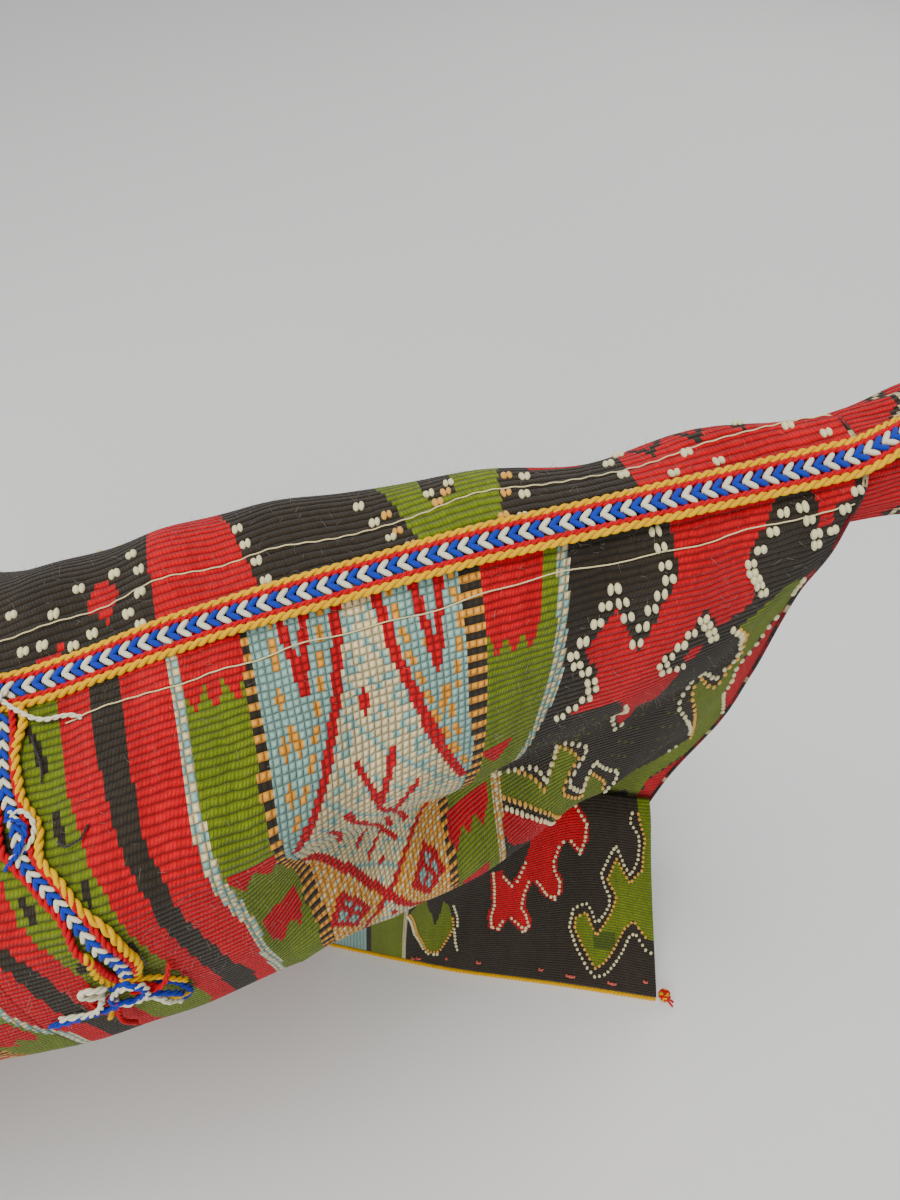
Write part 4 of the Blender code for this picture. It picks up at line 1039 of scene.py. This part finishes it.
def plait(path, up, across, half_width, lift, pitch, thick, colour, phase=0.0):
    """The stitches of one colour in a flat plait: slanting ovals from the middle out to both sides,
    their inner ends towards the start of the path."""
    run = np.concatenate([[0], np.cumsum(np.linalg.norm(np.diff(path, axis=0), axis=1))])
    starts = np.arange(pitch * (0.5 + colour), run[-1] - 1.4 * pitch, 2 * pitch)
    made = []
    steps = np.linspace(0, 1, 9)

    def read(at, values):
        return np.stack([np.interp(at, run, values[:, k]) for k in range(3)], -1)

    for start in starts:
        for hand in (-1, 1):
            shift = pitch * 0.5 if hand > 0 else 0.0
            at = start + shift * 0.25 + steps * pitch * 1.25
            out = (steps * 1.14 - 0.14) * half_width * hand
            body = read(at, path) + read(at, across) * out[:, None]
            body += read(at, up) * (lift + thick * 0.55 * np.sin(math.pi * (0.12 + 0.76 * steps)))[:, None]
            swell = thick * (0.45 + 0.55 * np.sin(math.pi * steps) ** 0.6)
            made.append(strand(body, read(at, up), swell, 7))
    return made


ridge = np.stack([STATIONS, front[:, 0, 1], front[:, 0, 2]], -1)
tail_x = np.linspace(0.2595, 0.327, 40)
tail_top = np.interp(tail_x, tail_line[:, 0][:40], tail_line[:, 1][:40])
on_tail = np.stack([tail_x, np.interp(tail_x, [0.2595, 0.33], [ridge[-1, 1], TAIL_Y]),
                    TAIL_Z + TAIL_RISE * (tail_x - 0.26) + tail_top * 0.99], -1)
ridge_line = smooth_curve(np.arange(0, 497) / 496.0,
                          np.concatenate([ridge, on_tail]), np.linspace(0, 1, 900))
kernel = np.ones(15) / 15
padded = np.concatenate([np.repeat(ridge_line[:1], 7, 0), ridge_line, np.repeat(ridge_line[-1:], 7, 0)])
ridge_line = np.stack([np.convolve(padded[:, k], kernel, "valid") for k in range(3)], -1)
ridge_line = even(ridge_line, 0.0008)
ridge_column = np.interp(ridge_line[:, 0], STATIONS, COLUMNS)
third_row = np.full(len(ridge_line), 3.0)
fore = on_grid(front, front_out, ridge_column, third_row)[0]
rear_side = on_grid(back, back_out, ridge_column, third_row)[0]
ridge_across = unit(fore - rear_side)
on_stump = np.clip((ridge_line[:, 0] - 0.250) / 0.02, 0, 1)[:, None]
ridge_across = unit(ridge_across * (1 - on_stump) + np.array([0, -1.0, 0]) * on_stump)
ridge_along = unit(np.gradient(ridge_line, axis=0))
ridge_up = unit(np.cross(ridge_across, ridge_along))
ridge_up *= np.sign(ridge_up[:, 2:3])
pieces = []
yellow = plied(ridge_line, ridge_up, ridge_across, 0.0061, 0.0009, 0.00088, 0.0074)
yellow += plied(ridge_line, ridge_up, ridge_across, -0.0061, 0.0011, 0.00085, 0.0074, phase=0.8)
pieces.append(bundle("ridge_cords_yellow", yellow, YELLOW_YARN))
red = plied(ridge_line, ridge_up, ridge_across, 0.0041, 0.0015, 0.00062, 0.0052, phase=1.0)
red += plied(ridge_line, ridge_up, ridge_across, -0.0041, 0.0016, 0.00062, 0.0052)
pieces.append(bundle("ridge_cords_red", red, RED_YARN))
for k, (name, yarn) in enumerate((("ridge_plait_blue", BLUE_YARN), ("ridge_plait_white", WHITE_YARN))):
    made = plait(ridge_line, ridge_up, ridge_across, 0.0033, 0.0012, 0.0036, 0.00112, k)
    pieces.append(bundle(name, made, yarn))
for piece in pieces:
    fasten(piece, "ridge_braid")

# ---------------------------------------------------------------- girth braid
# A second, looser braid sewn over the join of the two widths of cloth. It is worn and has come
# partly undone, and it ends below the roll in a tangled knot.

GIRTH = [(-48, 6), (-48.5, 22), (-48, 34), (-46, 46), (-43, 57), (-37, 66), (-31, 76), (-26.5, 86),
         (-24.5, 98), (-24, 110), (-24, 120)]
girth_run = np.linspace(0, len(GIRTH) - 1, 300)
girth_aq = smooth_curve(np.arange(len(GIRTH)), GIRTH, girth_run)
girth_line, girth_up = on_front(girth_aq, 0.0006)
girth_line = np.concatenate([girth_line, girth_up], axis=1)
girth_line = even(girth_line, 0.0008)
girth_line, girth_up = girth_line[:, :3], unit(girth_line[:, 3:])
girth_across = unit(np.cross(unit(np.gradient(girth_line, axis=0)), girth_up))
if girth_across[100, 0] < 0:
    girth_across = -girth_across
wander = np.linspace(0, 1, len(girth_line))[:, None]
loose = (np.sin(9 * wander + 0.4) * 0.0009 + np.sin(23 * wander) * 0.0006) * girth_across
slack = (np.sin(17 * wander + 1.2) * 0.0013 + np.sin(37 * wander) * 0.0006) * girth_across
yellow = plied(girth_line + loose + slack, girth_up, girth_across, 0.0052, 0.0014, 0.0009, 0.0080)
yellow += plied((girth_line - 1.5 * loose)[110:], girth_up[110:], girth_across[110:], -0.0046, 0.0014,
                0.0009, 0.0085)
red = plied(girth_line + loose, girth_up, girth_across, 0.0034, 0.0016, 0.0007, 0.0056)
red += plied(girth_line - slack, girth_up, girth_across, -0.0044, 0.0014, 0.0008, 0.0062)
pieces = [bundle("girth_cord_yellow", yellow, YELLOW_YARN), bundle("girth_cord_red", red, RED_YARN)]
for k, (name, yarn) in enumerate((("girth_plait_blue", BLUE_YARN), ("girth_plait_white", WHITE_YARN))):
    pieces.append(bundle(name, plait(girth_line + loose, girth_up, girth_across, 0.0023, 0.0014, 0.0032,
                                     0.0009, k), yarn))
for piece in pieces:
    fasten(piece, "girth_braid")


def loose_yarn(name, ways, material, radius, where=on_front, wave=0.0005, seed=1):
    """Loose threads on a cloth: each way is a list of (a, q, lift in mm), made smooth and uneven."""
    rng = np.random.default_rng(seed)
    made = []
    for way in ways:
        way = np.asarray(way, float)
        at = np.linspace(0, len(way) - 1, 12 * len(way))
        p = smooth_curve(np.arange(len(way)), way, at)
        shake = rng.normal(0, 1, (len(way) + 2, 3))
        shake = np.stack([np.interp(at, np.arange(len(way) + 2) - 0.5, shake[:, k]) for k in range(3)], -1)
        spot, up = where(p[:, :2], p[:, 2] / 1000)
        spot = even(spot + shake * wave, 0.0006)
        over = np.tile(up.mean(0), (len(spot), 1)) + 0.01
        beside = unit(np.cross(unit(np.gradient(spot, axis=0)), over))
        made += plied(spot, unit(over), beside, 0, 0, radius * 0.56, radius * 6.5)
    return bundle(name, made, material)


# the knot at the foot of the girth braid: yarns of every colour wound together, with loose ends
KNOT_RED = [[(-28, 116, 1), (-20, 122, 3), (-16, 128, 4), (-22, 132, 3), (-30, 128, 4), (-33, 121, 2)],
            [(-30, 126, 4), (-33, 138, 5), (-34, 152, 4), (-35, 166, 2)],
            [(-24, 120, 5), (-17, 126, 5), (-13, 124, 3), (-10, 118, 1)],
            [(-36, 112, 1), (-38, 124, 2), (-34, 134, 3), (-26, 138, 3)]]
KNOT_BLUE = [[(-30, 118, 3), (-24, 114, 5), (-20, 120, 6), (-25, 127, 6), (-31, 124, 5), (-29, 118, 4)],
             [(-30, 128, 4), (-38, 130, 3), (-47, 132, 2), (-56, 133, 1)],
             [(-21, 126, 5), (-15, 133, 5), (-12, 142, 4), (-13, 152, 3)],
             [(-18, 128, 3), (-12, 134, 2), (-10, 146, 2), (-14, 158, 1)]]
KNOT_WHITE = [[(-33, 121, 3), (-28, 128, 6), (-21, 126, 7), (-19, 119, 6), (-25, 115, 6), (-31, 120, 5)],
              [(-33, 120, 4), (-36, 126, 4), (-42, 130, 3), (-52, 131, 1)],
              [(-22, 128, 5), (-17, 136, 6), (-15, 146, 4), (-16, 156, 2)],
              [(-30, 112, 4), (-34, 108, 5), (-37, 112, 4), (-32, 119, 3)]]
KNOT_YELLOW = [[(-25, 112, 3), (-18, 120, 3), (-12, 128, 3), (-8, 136, 2)],
               [(-32, 128, 3), (-36, 138, 2), (-39, 146, 1)], [(-20, 130, 4), (-14, 140, 5), (-10, 150, 2)]]
knot_pieces = [loose_yarn("girth_knot_red", KNOT_RED, RED_YARN, 0.0010, seed=4),
               loose_yarn("girth_knot_blue", KNOT_BLUE, BLUE_YARN, 0.0012, seed=5),
               loose_yarn("girth_knot_white", KNOT_WHITE, WHITE_YARN, 0.0012, seed=6),
               loose_yarn("girth_knot_yellow", KNOT_YELLOW, YELLOW_YARN, 0.0010, seed=7)]
for piece in knot_pieces:
    fasten(piece, "girth_knot")
# a loop of blue and white yarn that has slipped out of the braid, and two white tie threads
SLIPPED_WHITE = [[(-48, 40, 2), (-43, 42, 3), (-39, 48, 4), (-41, 54, 4), (-48, 57, 3)],
                 [(-48, 2, 4), (-42, 8, 3), (-36, 12, 2), (-28, 14, 2), (-21, 17, 1)],
                 [(-50, 8, 4), (-46, 3, 5), (-44, 0, 4)]]
SLIPPED_BLUE = [[(-49, 44, 3), (-44, 46, 4), (-41, 50, 5), (-44, 56, 4), (-50, 60, 2)]]
DARNING = [[(-33, 55, 1), (-29, 58, 2), (-25, 57, 2), (-22, 53, 1)],
           [(-38, 18, 1), (-36, 28, 1), (-37, 34, 1)], [(-20, 100, 1), (-16, 108, 2), (-17, 114, 1)]]
others = [loose_yarn("slipped_loop_white", SLIPPED_WHITE, WHITE_YARN, 0.0009, seed=8),
          loose_yarn("slipped_loop_blue", SLIPPED_BLUE, BLUE_YARN, 0.0009, seed=9),
          loose_yarn("darning", DARNING, DARK_YARN, 0.00045, seed=10)]
for piece in others:
    fasten(piece)

# ---------------------------------------------------------------- running stitches
# One cream thread runs along each side of the ridge, a finger's width below it, over and under the
# ribs. The flap has a few coral stitches above its hem.

thread_a = np.linspace(-27, 256, 700)
sway = 0.7 * np.sin(thread_a / 13) + 0.4 * np.sin(thread_a / 5.1)
dip = 0.00022 * np.sin(thread_a * 0.9)
front_places = np.stack([thread_a, 17.0 + sway - 0.004 * thread_a], -1)
front_thread, front_thread_up = on_front(front_places, 0.0004 + dip)
back_a = np.linspace(-330, 256, 1300)
sway = 0.9 * np.sin(back_a / 17) + 0.4 * np.sin(back_a / 6.3)
back_thread, back_thread_up = on_back(np.stack([back_a, 21.5 + sway], -1),
                                      0.0004 + 0.00022 * np.sin(back_a * 0.9))
left_a = np.linspace(-330, -56, 600)
left_thread, left_thread_up = on_front(np.stack([left_a, 16 + 0.8 * np.sin(left_a / 12)], -1), 0.0005)
stitching = bundle("ridge_stitching", [strand(front_thread, front_thread_up, 0.00028, 5),
                                       strand(back_thread, back_thread_up, 0.00028, 5),
                                       strand(left_thread, left_thread_up, 0.00028, 5)],
                   yarn_material("sewing_thread", (236, 212, 160), 0.1))
coral = [[(x, t, 0.2), (x + w * 0.5, t + 0.002, 1.1), (x + w, t + 0.004, 0.2)] for x, t, w in
         [(103, .975, 5), (109, .966, 7), (144, .925, 2.5), (166, .925, 3), (198, .935, 2.5),
          (213, .955, 6), (239, .96, 6), (262, .92, 3)]]
hem_stitches = loose_yarn("hem_stitches", coral, CORAL_YARN, 0.0011, on_flap, 0.0, seed=12)
for piece in (stitching, hem_stitches):
    fasten(piece)

# ---------------------------------------------------------------- stray fibres
# Old wool sheds: short fibres stand off the ribs all over the roll, and longer ones off the ridge.


def fibres(name, places, where, length, rgb, seed):
    """Short bent hairs with one end in the cloth, each of five points with a three-sided section."""
    rng = np.random.default_rng(seed)
    root, up = where(np.asarray(places, float))
    lean = unit(rng.normal(0, 1, (len(root), 3)) + up * 1.1)
    bend = unit(rng.normal(0, 1, (len(root), 3)))
    s = np.linspace(0, 1, 5)[None, :, None]
    size = length * rng.uniform(0.4, 1.0, (len(root), 1, 1))
    path = root[:, None] + lean[:, None] * size * s + bend[:, None] * size * 0.45 * s * s
    turn = np.arange(3) * 2 * math.pi / 3
    side = unit(np.cross(lean, bend))
    other = np.cross(lean, side)
    thick = 0.00006 * (1.05 - 0.8 * s)[..., None]
    ring = thick * (side[:, None, None] * np.cos(turn)[None, None, :, None]
                    + other[:, None, None] * np.sin(turn)[None, None, :, None])
    verts = (path[:, :, None] + ring).reshape(-1, 3)
    one = [list(f) for f in quads(5, 3, wrap=True)] + [[0, 1, 2], [14, 13, 12]]
    faces = [[v + 15 * n for v in f] for n in range(len(root)) for f in one]
    return ragged_piece(name, verts, faces, yarn_material(name + "_wool", rgb, 0.5))


rng = np.random.default_rng(41)
on_roll = np.stack([rng.uniform(-325, 252, 1500), rng.uniform(6, 150, 1500)], -1)
on_top = np.stack([rng.uniform(-325, 250, 900), rng.uniform(4, 90, 900)], -1)
at_ridge = np.stack([rng.uniform(-325, 250, 260), rng.uniform(8.5, 12, 260)], -1)
fuzz = [fibres("roll_fibres", on_roll, on_front, 0.0042, (150, 140, 125), 42),
        fibres("top_fibres", on_top, on_back, 0.0042, (140, 130, 118), 43),
        fibres("ridge_fibres", at_ridge, on_front, 0.0055, (60, 52, 46), 44)]
for piece in fuzz:
    fasten(piece)

# ---------------------------------------------------------------- hem cord and corner knot
# A yellow two-ply cord is whipped along the hem of the flap, and its ends are knotted at the corner.

hem = hem_line.copy()
hem[:, 1] += STAND_Y
hem[:, 2] = 0.0021
hem = even(hem, 0.0008)
hem_up = np.tile([0.0, 0.0, 1.0], (len(hem), 1))
hem_across = unit(np.cross(unit(np.gradient(hem, axis=0)), hem_up))
hem_plies = plied(hem, hem_up, hem_across, 0, 0.0, 0.00098, 0.0056)
hem_piece = bundle("hem_cord_strands", hem_plies, YELLOW_YARN)
fasten(hem_piece, "hem_cord")
low_corner, high_corner = (np.array(c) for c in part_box("corner_knot"))
KNOT_AT, KNOT_R = (low_corner + high_corner) / 2, (high_corner[2] - low_corner[2]) / 2
turns = np.linspace(0, 2 * math.pi, 160)


def wound(p, r, w, h, lift=0.0):
    """A thread wound p times round a small ball while it swings w times up and down."""
    return KNOT_AT + np.stack([r * np.cos(p * turns) * np.cos(w * turns), r * np.sin(p * turns),
                               h * np.sin(w * turns) * np.cos(p * turns) + lift], -1)


steady = np.tile([0.31, 0.24, 0.92], (160, 1))
knot_yellow = [strand(wound(3, 0.0036, 2, 0.0036), steady, 0.0011),
               strand(wound(2, 0.0040, 3, 0.0030), steady, 0.0010)]
knot_red = [strand(wound(2, 0.0042, 5, 0.0034, 0.0008), steady, 0.0008)]
end = np.linspace(0, 1, 30)[:, None]
for k, (dx, dy) in enumerate([(0.004, -0.009), (0.006, -0.006)]):
    tip = KNOT_AT + np.array([dx, dy, 0]) * end + np.array([0, 0, 1.0]) * (-0.0035 * end ** 0.5)
    knot_red.append(strand(tip, np.tile([0.2, 0.1, 1.0], (30, 1)), 0.0009))
for name, made, yarn in (("corner_knot_yellow", knot_yellow, YELLOW_YARN),
                         ("corner_knot_red", knot_red, RED_YARN)):
    piece = bundle(name, made, yarn)
    fasten(piece, "corner_knot")

# ---------------------------------------------------------------- mouth cord
# A thick yellow cord is sewn round the open end of the bag, from the front foot over the ridge.

mouth = np.concatenate([front[0, ::-1], back[0, 3:]])
mouth[:, 0] = np.interp(np.arange(len(mouth)), [0, len(mouth)], [-0.3379, -0.3379])
mouth = even(mouth, 0.0012)
mouth[:, 2] = np.maximum(mouth[:, 2], 0.0072)
mouth_up = np.tile([-1.0, 0.0, 0.0], (len(mouth), 1))
mouth_across = unit(np.cross(unit(np.gradient(mouth, axis=0)), mouth_up))
mouth_plies = plied(mouth, mouth_up, mouth_across, 0, 0.0, 0.0012, 0.0085)
mouth_piece = bundle("mouth_cord_strands", mouth_plies, YELLOW_YARN)
fasten(mouth_piece, "mouth_cord")

# ---------------------------------------------------------------- wadding under the drum
# A bed of teased wool in a loose cotton cover, quilted through, that fills the bag below the drum.

low_corner, high_corner = (np.array(c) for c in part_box("padding_bed"))
BED_X = np.linspace(low_corner[0] + 0.002, high_corner[0] - 0.002, 150)
BED_RINGS = 120
bed_front = np.array([on_grid(front, front_out, np.full(197, c), np.arange(197.0))[0]
                      for c in np.interp(BED_X, STATIONS, COLUMNS)])
bed_back = np.array([on_grid(back, back_out, np.full(171, c), np.arange(171.0))[0]
                     for c in np.interp(BED_X, STATIONS, COLUMNS)])
bed_top = np.interp(BED_X, [low_corner[0], -0.125, -0.075, high_corner[0]], [0.262, 0.262, 0.292, 0.292])
around = np.linspace(0, 1, BED_RINGS, endpoint=False)
heights = np.array([0.008, 0.06, 0.12, 0.18, 0.225])
inset = 0.013


def side_y(grid, z, inner):
    """The cloth's y at heights z for each section, below the roll's widest place."""
    lower = grid[:, 90:] if inner > 0 else grid[:, 60:]
    return np.array([np.interp(z, s[::-1, 2], s[::-1, 1]) for s in lower]) + inner * inset


fore_y, aft_y = side_y(bed_front, heights, 1), side_y(bed_back, heights, -1)
ring_y = np.concatenate([fore_y, fore_y[:, -1:] * 0.68 + aft_y[:, -1:] * 0.32,
                         fore_y[:, -1:] * 0.32 + aft_y[:, -1:] * 0.68, aft_y[:, ::-1]], axis=1)
hs = np.tile(heights, (len(BED_X), 1))
ring_z = np.concatenate([hs, bed_top[:, None], bed_top[:, None], hs[:, ::-1]], axis=1)
corner_t = np.array([0, .09, .18, .27, .35, .44, .56, .65, .73, .82, .91, 1.0])
ring = np.stack([np.repeat(BED_X[:, None], 12, 1), ring_y, ring_z], -1)
bed = smooth_curve(np.tile(corner_t, (len(BED_X), 1)), ring, np.tile(around * 0.999, (len(BED_X), 1)))
middle = bed.mean(axis=1, keepdims=True)
tuft = np.cos(BED_X * 95)[:, None] * np.cos(around * 2 * math.pi * 9)[None]
lumps = crumple(BED_X[:, None] * 1000, around[None] * 620, 17, 1.0)
bed = middle + (bed - middle) * (0.955 - 0.022 * (1 + tuft[..., None]) - 0.020 * lumps[..., None])
ends = 1 - np.clip(np.minimum(BED_X - BED_X[0], BED_X[-1] - BED_X) / 0.034, 0, 1)
bed = middle + (bed - middle) * (0.30 + 0.70 * np.sqrt(1 - ends ** 2))[:, None, None]
wadding, tree, shader = surface("wool_wadding", 0.96, specular=0.08, sheen=0.35)
here = knot(tree, "TexCoord", out=3)
tuftiness = knot(tree, "TexNoise", here, None, 120.0, 5.0)
tinted(tree, shader, linear((196, 178, 142)), 0.22, tuftiness)
relief(tree, shader, tuftiness, 0.0022)
n, m = len(BED_X), BED_RINGS
caps = [list(range(m)), [(n - 1) * m + k for k in range(m)][::-1]]
walls = [list(f) for f in quads(n, m, wrap=True)]
padding = ragged_piece("padding", bed.reshape(-1, 3), walls + caps, wadding)
fasten(padding, "padding_bed")

# ---------------------------------------------------------------- the drum
# A goblet drum of cast aluminium, polished and then lightly hammered in rings, with a skin held by
# a plated hoop and six bolts, and a rubber ring round its foot.

HEAD_X = -0.318
DRUM_Y, DRUM_Z = 0.018 + STAND_Y, 0.370
TURNS = 144


def turned(name, profile, material, count=TURNS):
    """A closed profile of (length, radius) points, turned about the drum's axis."""
    t, r = np.asarray(profile, float).T
    a = np.arange(count) * 2 * math.pi / count
    grid = np.stack([np.repeat(HEAD_X + t[:, None], count, 1), DRUM_Y + r[:, None] * np.cos(a),
                     DRUM_Z + r[:, None] * np.sin(a)], -1)
    f = quads(len(t) + 1, count, wrap=True) % (len(t) * count)
    area = np.sum(t * np.roll(r, -1) - r * np.roll(t, -1))
    return add_piece(name, grid, f if area < 0 else f[:, ::-1], material)


aluminium, tree, shader = surface("cast_aluminium", 0.34, metallic=1.0)
here = knot(tree, "TexCoord", out=3)
cells_tex = knot(tree, "TexVoronoi", here, None, 150.0)
soft = knot(tree, "TexNoise", here, None, 35.0, 3.0)
tinted(tree, shader, (0.60, 0.58, 0.54), 0.16, soft)
relief(tree, shader, cells_tex, 0.0008, 0.8)
steel, tree, shader = surface("plated_steel", 0.22, metallic=1.0)
grain = knot(tree, "TexNoise", knot(tree, "TexCoord", out=3), None, 420.0, 3.0)
tinted(tree, shader, (0.70, 0.70, 0.71), 0.10, grain)
relief(tree, shader, grain, 0.00012, 0.5)
film, tree, shader = surface("drum_film", 0.38, specular=0.4)
cloudy = knot(tree, "TexNoise", knot(tree, "TexCoord", out=3), None, 22.0, 5.0)
tinted(tree, shader, (0.72, 0.69, 0.60), 0.10, cloudy)
relief(tree, shader, knot(tree, "TexNoise", knot(tree, "TexCoord", out=3), None, 900.0, 2.0), 0.00012, 0.5)
rubber, tree, shader = surface("foot_rubber", 0.68)
scuff = knot(tree, "TexNoise", knot(tree, "TexCoord", out=3), None, 260.0, 4.0)
tinted(tree, shader, (0.025, 0.025, 0.025), 0.5, scuff)
relief(tree, shader, scuff, 0.0002)
SHELL = [(0, .088), (.018, .088), (.034, .0922), (.052, .0922), (.095, .0895), (.135, .0740),
         (.175, .0540), (.210, .0440), (.245, .0415), (.300, .0445), (.345, .0510), (.387, .0600)]
length = np.concatenate([[0], np.linspace(0.018, 0.387, 90)])
outer = smooth_curve([p[0] for p in SHELL], [[p[1]] for p in SHELL], length)[:, 0]
grooves = np.array([.118, .126, .215, .222, .352, .360])
rings = 0.0006 * np.exp(-((length[:, None] - grooves) / .0016) ** 2).sum(1)
profile = list(zip(length, outer - rings)) + list(zip(length[::-1], outer[::-1] - 0.0035))
shell = turned("drum_body", profile, aluminium)
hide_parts("drum_shell")
skin_profile = [(-.0009, .0002), (-.0009, .0005), (-.0009, .0300), (-.0009, .0600), (-.0009, .0862),
                (-.0009, .0872), (-.0006, .0885), (.0000, .0889), (.012, .0889), (.0122, .0912),
                (.0136, .0916), (.0158, .0912), (.016, .0884), (-.0002, .0884), (-.0004, .0868),
                (-.0004, .0400), (-.0004, .0005), (-.0004, .0002)]
skin = turned("drum_head", skin_profile, film)
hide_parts("drum_skin")
ring_profile = [(.3874, .0625), (.3905, .0622), (.3925, .0615), (.3934, .0605), (.3934, .0575),
                (.3925, .0566), (.3874, .0558)]
foot = turned("foot_rubber_ring", ring_profile, rubber)
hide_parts("foot_ring")
for piece in (shell, skin, foot):
    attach(piece, "drum")
for name in ["tension_hoop"] + [f"lug_{k}" for k in range(1, 7)] + [f"tuning_bolt_{k}" for k in range(1, 7)]:
    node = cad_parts[name]
    if not node.material_slots:
        node.data.materials.append(steel)
    for s in node.material_slots:
        s.material = steel

# ---------------------------------------------------------------- the end

bpy.context.view_layer.update()
